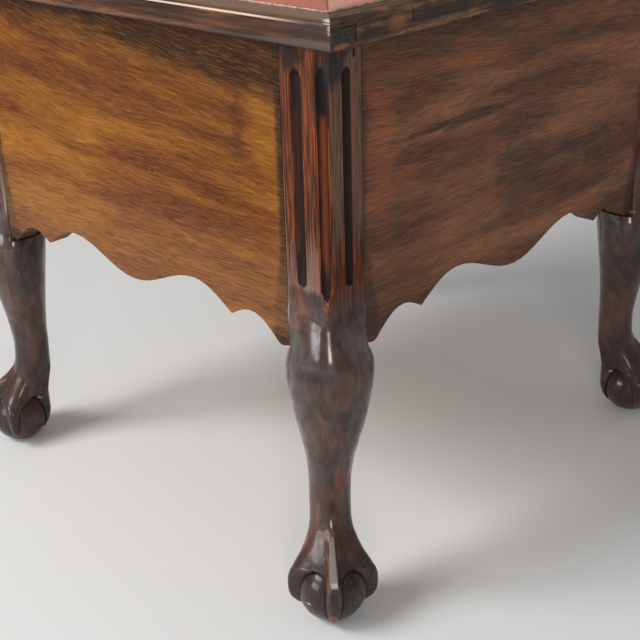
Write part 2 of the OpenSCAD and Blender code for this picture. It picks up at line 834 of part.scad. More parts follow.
module seat_padding() {
    inset = leather_t + soft_gap;
    rings = [for (s = seat_ring_shares) crown_ring(s, inset)];
    color("#d8cfae")
        seat_place()
            skin(concat([flat_ring(ledge_z + seat_board_t + soft_gap, inset)], rings));
}

// Leather drawn over the padding and down the edges of the seat board
module seat_leather() {
    n = len(seat_ring_shares) - 1;
    under = [for (i = [n:-1:0]) crown_ring(seat_ring_shares[i], leather_t)];
    outer = [for (s = seat_ring_shares) crown_ring(s, 0)];
    color(leather_red)
        seat_place()
            skin(concat(under, [flat_ring(ledge_z + soft_gap, leather_t),
                                flat_ring(ledge_z + soft_gap, 0)], outer));
}

module seat_screws() {
    color(brass) seat_screw_places() screw(seat_screw_l);
}

// Hinges

// Bed that a leaf is let into, from height z up
module leaf_bed(z, height) {
    translate([-hinge_l / 2 - glue_gap, leaf_front - glue_gap, z])
        cube([hinge_l + 2 * glue_gap, leaf_w + glue_gap + cut, height]);
}

module hinge_screw_row(z) {
    for (i = [-1, 0, 1]) translate([i * screw_spread, screw_y, z]) children();
}

// Knuckle number i of three, with the strip that joins it to its leaf
module knuckle(i, leaf_z) {
    length = knuckle_l - turn_gap;
    translate([(i - 1) * knuckle_l - length / 2, 0, 0]) {
        translate([0, pivot_y, pivot_z]) rotate([0, 90, 0])
            cylinder(h = length, r = knuckle_r, $fn = round_fn);
        translate([0, lid_back - cut, leaf_z])
            cube([length, pivot_y - lid_back + cut, leaf_t]);
    }
}

module hinge_leaf(knuckles, leaf_z) {
    color(brass)
        difference() {
            union() {
                translate([-hinge_l / 2, leaf_front, leaf_z]) cube([hinge_l, leaf_w, leaf_t]);
                for (i = knuckles) knuckle(i, leaf_z);
            }
            translate([-hinge_l / 2 - cut, pivot_y, pivot_z]) rotate([0, 90, 0])
                cylinder(h = hinge_l + 2 * cut, r = pin_r + pin_gap, $fn = round_fn);
            children();
        }
}

module box_leaf(side) {
    translate([side * hinge_x, 0, 0])
        hinge_leaf([0, 2], post_top - leaf_t)
            hinge_screw_row(post_top) screw(hinge_screw_l, screw_gap);
}

module lid_leaf(side) {
    translate([side * hinge_x, 0, 0])
        hinge_leaf([1], lid_base)
            hinge_screw_row(lid_base) rotate([180, 0, 0]) screw(hinge_screw_l, screw_gap);
}

module hinge_pin(side) {
    color(brass)
        translate([side * hinge_x - hinge_l / 2, pivot_y, pivot_z]) rotate([0, 90, 0])
            cylinder(h = hinge_l, r = pin_r, $fn = round_fn);
}

module hinge_box_screws() {
    color(brass) for (side = [-1, 1]) translate([side * hinge_x, 0, 0])
        hinge_screw_row(post_top) screw(hinge_screw_l);
}

module hinge_lid_screws() {
    color(brass) for (side = [-1, 1]) translate([side * hinge_x, 0, 0])
        hinge_screw_row(lid_base) rotate([180, 0, 0]) screw(hinge_screw_l);
}

leg(true, false);  // leg_front_right
leg(false, false);  // leg_front_left
leg(true, true);  // leg_back_right
leg(false, true);  // leg_back_left
apron_front();
apron_back();
apron_left();
apron_right();
glue_blocks();
cleat_front();
cleat_back();
cleat_left();
cleat_right();
bottom_board();
partition_left();
partition_right();
divider_left();
divider_right();
rest_base();
rest_pillar();
rest_sole();
rest_screws();
box_leaf(-1);  // hinge_left_box_leaf
box_leaf(1);  // hinge_right_box_leaf
hinge_pin(-1);  // hinge_left_pin
hinge_pin(1);  // hinge_right_pin
hinge_box_screws();
lid_front_rail();
lid_back_rail();
lid_left_rail();
lid_right_rail();
seat_board();
seat_padding();
seat_leather();
seat_screws();
lid_leaf(-1);  // hinge_left_lid_leaf
lid_leaf(1);  // hinge_right_lid_leaf
hinge_lid_screws();
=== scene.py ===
# %% [markdown]
# A square footstool with carved legs, a hinged lid and a leather seat.
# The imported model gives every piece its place. This script dresses it: the legs, the
# boards, the lid and the seat get modelled pieces, and every surface gets a material.

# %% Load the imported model
import math

import bmesh
import bpy
import numpy as np
from mathutils import Matrix, Vector


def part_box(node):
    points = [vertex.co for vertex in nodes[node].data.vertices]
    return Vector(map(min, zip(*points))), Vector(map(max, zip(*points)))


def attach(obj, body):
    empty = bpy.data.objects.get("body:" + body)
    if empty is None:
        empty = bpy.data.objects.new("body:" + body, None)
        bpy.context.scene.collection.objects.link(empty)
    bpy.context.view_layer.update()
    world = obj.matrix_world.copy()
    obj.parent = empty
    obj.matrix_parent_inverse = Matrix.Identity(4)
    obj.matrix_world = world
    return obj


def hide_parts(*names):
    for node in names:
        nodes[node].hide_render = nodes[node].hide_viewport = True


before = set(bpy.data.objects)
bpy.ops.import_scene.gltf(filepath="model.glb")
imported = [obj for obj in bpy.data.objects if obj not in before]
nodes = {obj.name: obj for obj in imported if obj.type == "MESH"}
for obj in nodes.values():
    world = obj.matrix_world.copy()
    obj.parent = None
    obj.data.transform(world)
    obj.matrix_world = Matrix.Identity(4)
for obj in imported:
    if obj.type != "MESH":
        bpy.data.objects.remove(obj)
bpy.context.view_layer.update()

# %% [markdown]
# Sizes are written in millimetres, as a cabinetmaker would, and turned to metres with MM.
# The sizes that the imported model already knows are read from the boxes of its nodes.

# %% Sizes shared by several pieces
MM = 0.001
ORIGIN = (0, 0, 0)

leg_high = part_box("leg_front_right")[1]
apron_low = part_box("apron_front")[0]
rail_low, rail_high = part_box("lid_front_rail")
seat_low, seat_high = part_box("seat_leather")

POST = 38 * MM
half_post = POST / 2
post_top = leg_high.z
half_depth = -apron_low.y + 1 * MM
half_width = 210 * MM
lid_base = rail_low.z
lid_top = rail_high.z
print("post top", post_top, "half depth", half_depth, "lid top", lid_top)

# %% [markdown]
# Operators work on whatever is selected, so each step starts by clearing the selection.
# These helpers select one object, go in and out of edit mode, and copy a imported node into
# a clean mesh of its own that can be bevelled.

# %% Helpers for selecting and copying


def pick(obj):
    bpy.ops.object.select_all(action="DESELECT")
    obj.select_set(True)
    bpy.context.view_layer.objects.active = obj
    return obj


def name_piece(name):
    obj = bpy.context.active_object
    obj.name = name
    obj.data.name = name
    return obj


def settle(obj):
    """Moves the object's place into its mesh, so that its origin is the world's."""
    pick(obj)
    bpy.ops.object.transform_apply(location=True, rotation=True, scale=True)
    return obj


def edit(obj, action="SELECT"):
    """Starts edit mode with the whole mesh selected, or none of it."""
    pick(obj)
    bpy.ops.object.mode_set(mode="EDIT")
    bpy.ops.mesh.select_all(action=action)


def leave():
    bpy.ops.object.mode_set(mode="OBJECT")


def smooth(obj, angle):
    pick(obj)
    bpy.ops.object.shade_smooth_by_angle(angle=math.radians(angle))


def copy_of(obj, name):
    copy = obj.copy()
    copy.data = obj.data.copy()
    bpy.context.scene.collection.objects.link(copy)
    copy.name = name
    copy.data.name = name
    return copy


def merged_copy(node, name):
    """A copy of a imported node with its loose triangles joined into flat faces."""
    copy = copy_of(nodes[node], name)
    copy.parent = None
    copy.animation_data_clear()
    for key in list(copy.keys()):
        del copy[key]
    edit(copy)
    bpy.ops.mesh.remove_doubles(threshold=0.00001)
    bpy.ops.mesh.customdata_custom_splitnormals_clear()
    bpy.ops.mesh.dissolve_limited(angle_limit=math.radians(0.5))
    leave()
    return copy


def soften(obj, width, segments=2, angle=40):
    """Rounds the sharp edges a little and shades the round parts smooth."""
    pick(obj)
    bevel = obj.modifiers.new("Soft edges", "BEVEL")
    bevel.width = width
    bevel.segments = segments
    bevel.limit_method = "ANGLE"
    bevel.angle_limit = math.radians(angle)
    bpy.ops.object.modifier_apply(modifier=bevel.name)
    smooth(obj, angle)
    weighted = obj.modifiers.new("Flat faces first", "WEIGHTED_NORMAL")
    weighted.keep_sharp = True
    bpy.ops.object.modifier_apply(modifier=weighted.name)
    return obj


# %% [markdown]
# A turned and carved leg is one piece of wood. The blank is a cylinder that is cut into
# rings. Each ring is then pressed into the section that the leg has at its height: a post
# with flutes, a knee, an ankle, and a foot whose talons hold a ball.

# %% Heights of the leg and the number of points round it
BALL_R = 25.6
BALL_Z = 24.2
TOE_OUT = 21.0
ANKLE_Z = 84.0
KNEE_TOP = 250.0
APRON_TIP_Z = 209.4
HALF = 19.0
CANT = 10.0
CORNER_REACH = HALF * math.sqrt(2)
CANT_REACH = CORNER_REACH - CANT / 2
EDGE_R = 2.5
GOUGE_R = 5.3
FACE_FLUTE = 9.8
CORNER_FLUTE = 7.2
FLUTE_IN = 22.9
FLUTE_LOW = 261.0
FLUTE_HIGH = 408.0
FLUTE_DROP = 5.0                # how far the corner flute runs below the others
RUN_OUT = 10.0                  # length over which its gouge rises out of the wood
FLUTE_TIP = 7.2                 # length of the pointed upper end of a flute
NOSE = 0.7                      # half width of the canted corner where the knee begins
LEG_TOP = post_top / MM

ROUND = 128                     # points round the leg
HALF_ROUND = ROUND // 2
CUTS = 15                       # cuts in each long edge of the blank, made twice
LEVELS = (CUTS + 1) ** 2        # rings of faces from the floor to the top


# %% Curves through a few stations
def through(stations, z):
    """Smooth curve through (height, value) pairs, with no overshoot between them."""
    zs, vs = np.array(stations, float).T
    steps = np.diff(vs) / np.diff(zs)
    slopes = np.zeros(len(vs))
    slopes[0], slopes[-1] = steps[0], steps[-1]
    for i in range(1, len(vs) - 1):
        a, b = steps[i - 1], steps[i]
        slopes[i] = 0 if a * b <= 0 else 2 * a * b / (a + b)
    z = min(max(z, zs[0]), zs[-1])
    i = min(int(np.searchsorted(zs, z, side="right")) - 1, len(zs) - 2)
    h = zs[i + 1] - zs[i]
    t = (z - zs[i]) / h
    return ((1 + 2 * t) * (1 - t) ** 2 * vs[i] + t * (1 - t) ** 2 * h * slopes[i]
            + t * t * (3 - 2 * t) * vs[i + 1] + t * t * (t - 1) * h * slopes[i + 1])


def ease(t):
    t = min(max(t, 0.0), 1.0)
    return t * t * (3 - 2 * t)


def mix(a, b, t):
    return a + (b - a) * t


# %% [markdown]
# The stations below are read as a carver would take them off a pattern: how far the wood
# stands out to the front, side and back of the leg's middle at some heights.

# %% Stations of the leg, in millimetres
MIDDLE = [(0, 21), (34, 21), (39, 20.6), (41, 20.2), (46, 18.9), (52, 16), (60, 11.5),
          (68, 7), (76, 3.5), (84, 1.9), (95, 1), (108, 0), (423, 0)]
SWAY = [(0, -2.5), (12, -2.0), (25, -1.5), (45, -1.2), (60, -1.4), (76, -1.5), (90, -1.4),
        (105, -1.1), (130, -0.1), (160, 1.0), (195, 1.1), (215, 0.8), (235, 0.2), (250, 0)]
FRONT = [(0, 12.5), (3.4, 18.2), (7, 22.6), (10.5, 25.6), (16, 28.4), (22, 30),
         (28, 30.9), (34, 31), (41, 30.6), (46, 29.6), (52, 27.8), (60, 24), (68, 19.5),
         (76, 17), (84, 15.8), (96, 16), (109, 17.8), (124, 20), (136, 22.5), (149, 25.3),
         (160, 27.8), (172, 30.4), (183, 33), (192, 34.8), (200, 35.4), (208, 35),
         (214, 34), (220, 32.2), (227, 29.8), (233, 27.8), (240, 26.4), (250, 26.9)]
SIDE = [(8, 10), (10, 20.7), (11, 23.5), (13, 27), (16, 30.4), (22, 33), (29, 33.5),
        (34, 33.3), (39, 31.9), (41, 30.6), (46, 27.4), (52, 23.3), (60, 19.2), (68, 16.3),
        (76, 15.4), (84, 15.3), (96, 15.3), (109, 15.8), (124, 17.6), (136, 20.3),
        (149, 23.5), (160, 26.2), (172, 28.4), (179, 29.6), (187, 30.8), (194, 31.3),
        (200, 31.1), (205, 30.1), (209, 28.9), (213, 27.7), (218, 27), (250, 26.9)]
BACK = [(5, 10), (7, 18.6), (10.5, 22.8), (16, 26.5), (22, 28.4), (28, 29.4), (34, 29.4),
        (41, 28.7), (46, 27.4), (52, 25.5), (60, 22.5), (68, 19.9), (76, 17.4), (84, 15.9),
        (96, 15.4), (109, 14.6), (124, 15.3), (136, 16.3), (149, 17.6), (160, 19),
        (172, 20.5), (187, 22.5), (200, 24), (212, 25.3), (225, 26.2), (238, 26.6),
        (250, 26.9)]
WEB = [(41.5, 21), (46, 20.1), (52, 18.6), (60, 17.2), (68, 15.9), (76, 15.2), (84, 15)]
SQUARENESS = [(84, 2), (109, 1.98), (136, 1.92), (160, 1.86), (187, 1.8), (200, 1.76),
              (212, 1.66), (225, 1.42), (238, 1.17), (250, 1.0)]
TALON_EDGE = [(0, 3.5), (3, 5.5), (8, 8.2), (15, 10.8), (25, 13.2), (36, 15), (40.5, 17),
              (43, 25), (44.6, 34), (45.6, 44), (54, 42), (84, 32)]
SIDE_EDGE = [(8, 90), (10, 88.5), (13, 86), (20, 82.5), (29, 79), (35, 75), (40, 68),
             (43, 60), (44.8, 52), (45.6, 47), (54, 52), (84, 60)]
FACET = [(0, 0.8), (14, 3.0), (30, 4.8), (45, 5.4), (60, 5.0), (70, 4.2), (78, 3.4), (84, 3)]
WEB_FOOT = 46.0                 # height of the top of the openings over the ball
TALON_WIDE = 15.2               # widest angle of the front talon beside the ball
LIP = 2.9                       # thickness of the talons' edges over the ball


# %% Sections of the leg
def ball_reach(z, middle, angle):
    """Distance from the leg's middle to the ball's surface."""
    ring = BALL_R ** 2 - (z - BALL_Z) ** 2
    if ring <= 0:
        return 0.0
    off = TOE_OUT - middle
    return off * math.cos(angle) + math.sqrt(max(ring - (off * math.sin(angle)) ** 2, 0))


def talon(z, off, width):
    """The front talon's cross-section: a narrow flat, then a plain flank. 1 down to 0."""
    facet = through(FACET, z)
    down = min(max((off - facet) / (width - facet), 0), 1)
    return (1 - down) ** mix(1.0, 1.6, ease((z - 36) / 12))


def lobe_swell(off):
    """How much of a side talon's swell is left at an angle: 1 at the side, 0 in the web."""
    return math.cos(math.radians(min(abs(90 - off) * 90 / 52, 90))) ** 2


def foot_reach(z, angle):
    """Reach of the foot at an angle from the front, in degrees from 0 to 180."""
    middle = through(MIDDLE, z)
    front_edge = through(TALON_EDGE, z)
    side_edge = through(SIDE_EDGE, z)
    ahead = angle < 90
    off = angle if ahead else 180 - angle
    ball = ball_reach(z, middle, math.radians(angle))
    cover = ease((z - WEB_FOOT + 1.2) / 2.4)
    web = through(WEB, z)
    base = mix(ball, max(web, ball), cover)
    lip = mix(LIP, 0, ease((z - WEB_FOOT) / 4))
    toe = through(FRONT if ahead else BACK, z)
    side = through(SIDE, z)
    reach = base
    if z < WEB_FOOT:
        if off < front_edge and toe > base + lip * 0.4:
            low = mix(base + lip * 0.4, max(web, base + 0.5), ease((z - WEB_FOOT + 4.5) / 4.5))
            reach = low + max(0, toe - low) * talon(z, off, min(front_edge, TALON_WIDE))
        elif off > side_edge and side > base:
            near_web = ease((z - WEB_FOOT + 5) / 5)
            low = mix(base + min(lip, side - base), max(web, base + 0.5), near_web)
            swell = math.sin(math.pi / 2 * (off - side_edge) / (90 - side_edge))
            reach = low + max(0, side - low) * mix(swell, lobe_swell(off), near_web)
        return reach, middle
    crest = talon(z, off, mix(TALON_WIDE, 26, ease((z - WEB_FOOT) / 24)))
    reach = web + max(0, toe - web) * crest + max(0, side - web) * lobe_swell(off)
    return max(reach, ball), middle


def leg_reach(z, angle):
    """Reach of the knee and ankle, from an ellipse low down to a square at the post."""
    a = math.radians(angle)
    front = through(FRONT, z) if angle < 90 else through(BACK, z)
    side = through(SIDE, z)
    n = through(SQUARENESS, z)
    reach = 0.0
    width = mix(0, 13, ease((KNEE_TOP - 1 - z) / 16)) * (1 - ease((angle - 30) / 25))
    for step in (-1, -0.66, -0.33, 0, 0.33, 0.66, 1):
        turned = a + math.radians(width * step)
        reach += ((abs(math.cos(turned)) / front) ** n
                  + (abs(math.sin(turned)) / side) ** n) ** (-1 / n) / 7
    if angle < 60:
        cant = mix(CORNER_REACH - NOSE, 60, ease((KNEE_TOP - z) / 30))
        reach = min(reach, cant / math.cos(a))
    return reach


def flute_half(z, width, low, foot_length):
    """Half the width of a flute at a height: round or drawn out below, pointed above."""
    below = max(low + foot_length - z, 0) / foot_length
    above = max(z - (FLUTE_HIGH - width / 2), 0) / FLUTE_TIP
    share = math.sqrt(max(1 - below ** 2, 0)) * max(1 - above ** 1.5, 0)
    return width / 2 * share


def gouge(across, half):
    """Depth of a flute at a distance across it, cut by a gouge of one radius."""
    if abs(across) >= half:
        return 0.0
    return math.sqrt(GOUGE_R ** 2 - across ** 2) - math.sqrt(GOUGE_R ** 2 - half ** 2)


# %% [markdown]
# On the post, the points of a ring sit where the edges are: on the flutes, on the canted
# corner and on the rounded edge beside the apron. Lower down they slide to the talons.

# %% The post's section
FACE = POST / MM - CANT / math.sqrt(2)
FLUTE_MID = FLUTE_IN - CANT / math.sqrt(2)
GROOVE_END = 8                  # last point in the corner flute, counted from its middle
CANT_END = 11
FLUTE_FROM, FLUTE_TO = 19, 33   # points at the edges of the flute in a face
FACE_END = 39
EDGE_END = 45                   # end of the rounded edge beside the apron
LEAST_GROOVE = 0.4              # half widths of the strips that run on past the flutes
LEAST_FLUTE = 0.8
POST_MIDDLE = 300.0             # height that parts the lower from the upper ends of flutes


def past_end(z, width, low):
    return max(low - z, z - (FLUTE_HIGH - width / 2), 0.0)


def post_point(i, z):
    """Point i of half the post's section, along and across its diagonal."""
    half_w = max(flute_half(z, FACE_FLUTE, FLUTE_LOW, FACE_FLUTE / 2), LEAST_FLUTE)
    half_c = cut = flute_half(z, CORNER_FLUTE, FLUTE_LOW - FLUTE_DROP, RUN_OUT)
    if cut < LEAST_GROOVE:
        closed = ease((z - KNEE_TOP) / 6) if z < POST_MIDDLE else 1.0
        half_c = mix(CORNER_FLUTE / 2, LEAST_GROOVE, closed)
    turn = math.cos(math.radians(45))
    if i <= CANT_END:
        corner = mix(NOSE, CANT / 2, ease((z - KNEE_TOP) / 16))
        past = max(i - GROOVE_END, 0) / (CANT_END - GROOVE_END)
        across = mix(half_c, CANT / 2, past) if past else half_c * i / GROOVE_END
        depth = 0.0 if past else gouge(across, cut)
        return CORNER_REACH - max(across, corner) - depth, across
    if i <= FACE_END:
        along = float(np.interp(i, (CANT_END, FLUTE_FROM, FLUTE_TO, FACE_END),
                                (0, FLUTE_MID - half_w, FLUTE_MID + half_w, FACE - EDGE_R)))
        in_flute = FLUTE_FROM <= i <= FLUTE_TO and half_w > LEAST_FLUTE
        depth = gouge(along - FLUTE_MID, half_w) if in_flute else 0.0
        return CANT_REACH - turn * (along + depth), CANT / 2 + turn * (along - depth)
    if i <= EDGE_END:
        a = math.radians(mix(45, 135, (i - FACE_END) / (EDGE_END - FACE_END)))
        centre = CORNER_REACH - EDGE_R * math.sqrt(2)
        return EDGE_R * math.cos(a), centre + EDGE_R * math.sin(a)
    inner = Vector((-turn * EDGE_R, CORNER_REACH - turn * EDGE_R))
    point = inner.lerp(Vector((-CORNER_REACH, 0)), (i - EDGE_END) / (HALF_ROUND - EDGE_END))
    return point.x, point.y


def foot_angle(i, z):
    """Angle of point i of a ring of the foot."""
    front_edge = through(TALON_EDGE, z)
    side_edge = through(SIDE_EDGE, z)
    stops = [0, 3, 4, 7, 8, 9, 21, 22, 32, 42, 43, 55, 56, 57, 60, 61, 64]
    front_in, front_out = front_edge * 0.985, front_edge * 1.04 + 0.4
    side_in, side_out = side_edge * 0.985 - 0.3, side_edge * 1.01
    crest = min(front_in, TALON_WIDE + max(0, z - WEB_FOOT) * 0.4)
    facet = max(through(FACET, z), crest * 0.2)
    places = [0, facet * 0.88, facet * 1.12, crest * 0.96, front_in, front_out, side_in,
              side_out, 90]
    places += [180 - place for place in reversed(places[:-1])]
    return float(np.interp(i, stops, places))


def leg_point(i, z):
    """Point i, from 0 at the front to 64 at the back, of half the section at a height."""
    if z >= KNEE_TOP:
        return post_point(i, z)
    along, across = post_point(i, KNEE_TOP)
    post_angle = math.degrees(math.atan2(across, along))
    if z >= ANKLE_Z:
        angle = mix(foot_angle(i, ANKLE_Z), post_angle, ease((z - ANKLE_Z) / 150))
        reach, middle = leg_reach(z, angle), through(MIDDLE, z)
        reach = mix(reach, math.hypot(along, across), ease((z - KNEE_TOP) / 14 + 1))
    else:
        angle = foot_angle(i, z)
        reach, middle = foot_reach(z, angle)
        reach = mix(reach, leg_reach(z, angle), ease((z - ANKLE_Z) / 14 + 1))
    a = math.radians(angle)
    return middle + reach * math.cos(a), reach * math.sin(a)


# %% [markdown]
# Polish wears off where hands and shoes rub, and dust greys the sides. Shade is painted dark
# into the hollows, and highlights are painted on the edge beside each apron and on the front
# talon.
# The leg keeps all three as numbers on its points, and its finish reads them. The half that
# faces front or back is marked otherwise than the half that faces sideways.

# %% Wear, painted shade in the hollows, and dust and painted highlights of the leg
ARRISES = {7: 0.4, 8: 0.62, 9: 0.35, 11: 0.6, 12: 0.25, 19: 0.6, 33: 0.62, 34: 0.25, 39: 0.35,
           42: 0.5}             # how far each arris of the post is worn, by its point
DARK_TOPS_LOW = 382.0                 # height from which the tops of the flutes are painted darker


def post_marks(i, z, to_front):
    past = past_end(z, FACE_FLUTE, FLUTE_LOW + FACE_FLUTE / 2)
    on_flutes = 1 - ease(past / (FACE_FLUTE / 2) - 0.5)
    wear = ARRISES.get(i, 0.0) * mix(0.6, 1, on_flutes)
    hollow_shade, dust_and_sheen = 0.0, 0.0
    # Shade is painted inside each face flute: darkest off its middle on the front face, and
    # spreading wider at its ends.
    if FLUTE_FROM < i < FLUTE_TO:
        ends = max(ease((z - DARK_TOPS_LOW) / 14), ease((292 - z) / 16))
        off = (i - 23 - 2.5 * ends) / (7.5 + 4.5 * ends) if to_front else (i - 26.2) / 8
        hollow_shade = on_flutes * max(0.42, 1 - off * off)
    # Shade is painted inside the corner flute, deepest at its top and at its foot, most on the
    # front half.
    if i < GROOVE_END:
        past = past_end(z, CORNER_FLUTE, FLUTE_LOW - FLUTE_DROP)
        in_flute = 1 - ease((past - 1) / 5 if z > POST_MIDDLE else past / 1.2)
        wear = 0.7 * (1 - ease((z - DARK_TOPS_LOW - 2) / 8)) * (1 if i < 6 else 0.5)
        foot = (0.75 if to_front else 0.3) * ease((279 - z) / 12)
        hollow_shade = (0.9 * ease((z - DARK_TOPS_LOW) / 8) + foot + 0.3 + 0.03 * i) * in_flute
    # On the front half the face is greyed below the flutes, and a painted highlight runs down
    # the rounded edge beside the apron.
    if to_front and GROOVE_END < i <= EDGE_END:
        strip = 0.95 if CANT_END <= i <= FLUTE_FROM else 0.6
        dust_and_sheen = strip * ease((312 - z) / 40) * ease((z - 254) / 10)
        if i > FACE_END:
            dust_and_sheen = max(dust_and_sheen, 1.5 * ease((352 - z) / 24))
    elif not to_front and CANT_END <= i <= EDGE_END:
        dust_and_sheen = 0.72 * ease((z - 262) / 55)
    return wear, hollow_shade, dust_and_sheen


def foot_marks(i, z, to_front):
    angle = foot_angle(i, z)
    off = min(angle, 180 - angle)
    edge, side_edge = through(TALON_EDGE, z), through(SIDE_EDGE, z)
    wear, hollow_shade = 0.0, 0.0
    # Shade is painted in the creases beside the talons' edges and under the web over each
    # opening.
    if z < WEB_FOOT + 1:
        gap = abs(off - edge)
        if z > 12 and off < side_edge + 0.5:
            gap = min(gap, side_edge - off)
        hollow_shade = 0.9 * (1 - ease(gap / 2.6)) if off > edge * 0.96 else 0.0
        if edge + 2 < off < side_edge:
            hollow_shade = max(hollow_shade, 1 - ease(abs(z - WEB_FOOT + 1.2) / 1.6))
    if angle < 90:
        tip = (1 - ease((z - 16) / 8)) if off < edge * 0.7 else 0.0
        flank = 1 - ease((abs(z - 49) - 8) / 7) if 5.5 < off < 12 and to_front else 0.0
        wear = max(0.5 * tip, 0.66 * flank)
    # A painted highlight on the front talon's flat, kept in the dust and sheen mark.
    lit = ease((z - 40) / 6) * (1 - ease((z - 64) / 12)) if i < 4 else 0.0
    return wear, hollow_shade, lit


def leg_marks(i, z, to_front):
    if z >= KNEE_TOP:
        return post_marks(i, z, to_front)
    if z < ANKLE_Z:
        return foot_marks(i, z, to_front)
    nose = 1 - ease(i / 4)
    # A painted highlight along the edge beside the apron, carried on down the knee.
    beside_apron = to_front and FACE_END < i <= EDGE_END
    dust_and_sheen = 1.5 * ease((z - 225) / 25) if beside_apron else 0.0
    return 0.5 * nose * ease((z - 244) / 5), 0.0, dust_and_sheen


# %% Heights of the rings
LEVEL_STOPS = [(0, 0.0), (112, ANKLE_Z), (168, 212.0), (192, KNEE_TOP), (218, 264.0),
               (230, 402.0), (246, 411.0), (LEVELS, LEG_TOP)]


def level_height(level):
    return float(np.interp(level, *zip(*LEVEL_STOPS)))


# %% [markdown]
# The blank is a plain cylinder. Its long edges are subdivided twice, and then each point
# is moved to its place on the carved leg. The leg is made once, for the front right
# corner, and the other three are mirrored copies.

# %% Carve the front right leg
post_x = half_width - half_post
post_y = -half_depth + half_post


def carve_leg(name):
    bpy.ops.mesh.primitive_cylinder_add(vertices=ROUND, radius=1, depth=1,
                                        end_fill_type="TRIFAN", location=(0, 0, 0.5))
    leg = settle(name_piece(name))
    edit(leg)
    bpy.ops.mesh.select_mode(type="EDGE")
    for repeat in range(2):
        mesh = bmesh.from_edit_mesh(leg.data)
        for edge in mesh.edges:
            a, b = (v.co for v in edge.verts)
            edge.select_set(abs(a.z - b.z) > 0.001 and (a.xy - b.xy).length < 0.001)
        bmesh.update_edit_mesh(leg.data)
        bpy.ops.mesh.subdivide(number_cuts=CUTS)
    leave()
    return leg


def shape_leg(leg):
    places = {}
    marks = [leg.data.attributes.new(name, "FLOAT", "POINT")
             for name in ("wear", "hollow_shade", "dust_and_sheen")]
    for vert in leg.data.vertices:
        level = round(vert.co.z * LEVELS)
        if vert.co.xy.length < 0.01:
            z = level_height(level)
            place = ((TOE_OUT if level == 0 else 0.0), 0.0)
            aged = (0.0, 0.3, 0.0)
        else:
            step = round(math.atan2(vert.co.y, vert.co.x) / (2 * math.pi) * ROUND) % ROUND
            i = step if step <= HALF_ROUND else ROUND - step
            z = level_height(level)
            to_front = step > HALF_ROUND
            if (i, level) not in places:
                places[i, level] = leg_point(i, z)
            along, across = places[i, level]
            aged = leg_marks(i, z, to_front)
            place = (along, (-across if to_front else across) + through(SWAY, z))
        turned = Matrix.Rotation(math.radians(-45), 2) @ Vector(place)
        if APRON_TIP_Z < z < KNEE_TOP:
            turned *= min(1, HALF / max(-turned.x, 0.001), HALF / max(turned.y, 0.001))
        vert.co = Vector((turned.x * MM + post_x, turned.y * MM + post_y, z * MM))
        for mark, value in zip(marks, aged):
            mark.data[vert.index].value = value
    return leg


leg_front_right = shape_leg(carve_leg("leg_front_right_carved"))
print("leg", len(leg_front_right.data.vertices), "points")

# %% Mirror the other three legs


def mirrored(obj, name, across_x, across_y):
    copy = copy_of(obj, name)
    for vert in copy.data.vertices:
        vert.co.x *= -1 if across_x else 1
        vert.co.y *= -1 if across_y else 1
    if across_x != across_y:
        copy.data.flip_normals()
    return copy


def outward(obj):
    edit(obj)
    bpy.ops.mesh.normals_make_consistent(inside=False)
    leave()
    return obj


smooth(outward(leg_front_right), 35)
legs = {
    "leg_front_right": leg_front_right,
    "leg_front_left": mirrored(leg_front_right, "leg_front_left_carved", True, False),
    "leg_back_right": mirrored(leg_front_right, "leg_back_right_carved", False, True),
    "leg_back_left": mirrored(leg_front_right, "leg_back_left_carved", True, True),
}
for node, leg in legs.items():
    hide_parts(node)
    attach(leg, "stand")

# %% [markdown]
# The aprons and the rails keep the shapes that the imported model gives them. Each is copied,
# its arrises are eased with a bevel, and the faces' normals are weighted by their size, so
# that wide flat faces stay flat to the eye while the small rounded ones blend into them.

# %% Aprons and lid rails


def round_tips(board):
    """Rounds the lowest corner at each end, beside the post."""
    edit(board, "DESELECT")
    bpy.ops.mesh.select_mode(type="EDGE")
    mesh = bmesh.from_edit_mesh(board.data)
    lowest = min(v.co.z for v in mesh.verts)
    for edge in mesh.edges:
        edge.select_set(max(v.co.z for v in edge.verts) < lowest + 0.5 * MM)
    tips = sum(edge.select for edge in mesh.edges)
    bmesh.update_edit_mesh(board.data)
    bpy.ops.mesh.bevel(offset=4 * MM, segments=4, affect="EDGES")
    leave()
    print(board.name, "tips rounded", tips)


aprons = {}
for node in ("apron_front", "apron_back", "apron_left", "apron_right"):
    board = merged_copy(node, node + "_board")
    round_tips(board)
    soften(board, 0.8 * MM)
    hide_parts(node)
    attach(board, "stand")
    aprons[node] = board

rails = {}
for node in ("lid_front_rail", "lid_back_rail", "lid_left_rail", "lid_right_rail"):
    rail = soften(merged_copy(node, node + "_wood"), 0.35 * MM, angle=25)
    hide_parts(node)
    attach(rail, "lid")
    rails[node] = rail
print("boards", {name: len(obj.data.polygons) for name, obj in {**aprons, **rails}.items()})

# %% [markdown]
# The seat is leather drawn over a crowned pad and tacked down at its edge. A flat grid is
# lifted to a shallow crown, its rim is pinned, and cloth with a little pressure under it
# swells and pulls tight. What a needle or a knife does afterwards, the folds at the
# corners, is left to the leather's finish.

# %% Measures of the seat
seat_middle = (seat_high + seat_low) / 2
seat_half = (seat_high - seat_low) / 2
CROWN = seat_high.z - lid_top
print("seat half widths", seat_half.x, seat_half.y, "crown", CROWN)


def crown_at(x, y, share):
    """Height over the frame of a point of the seat, at a share of the full crown."""
    u = min(1.0, abs(x - seat_middle.x) / seat_half.x)
    v = min(1.0, abs(y - seat_middle.y) / seat_half.y)
    rise = max(0.0, (1 - u ** 2.6) * (1 - v ** 2.6))
    return (3 * rise ** 0.4 + 28 * rise ** 0.72) / 31 * CROWN * share


# %% Start of the leather
GRID = 88


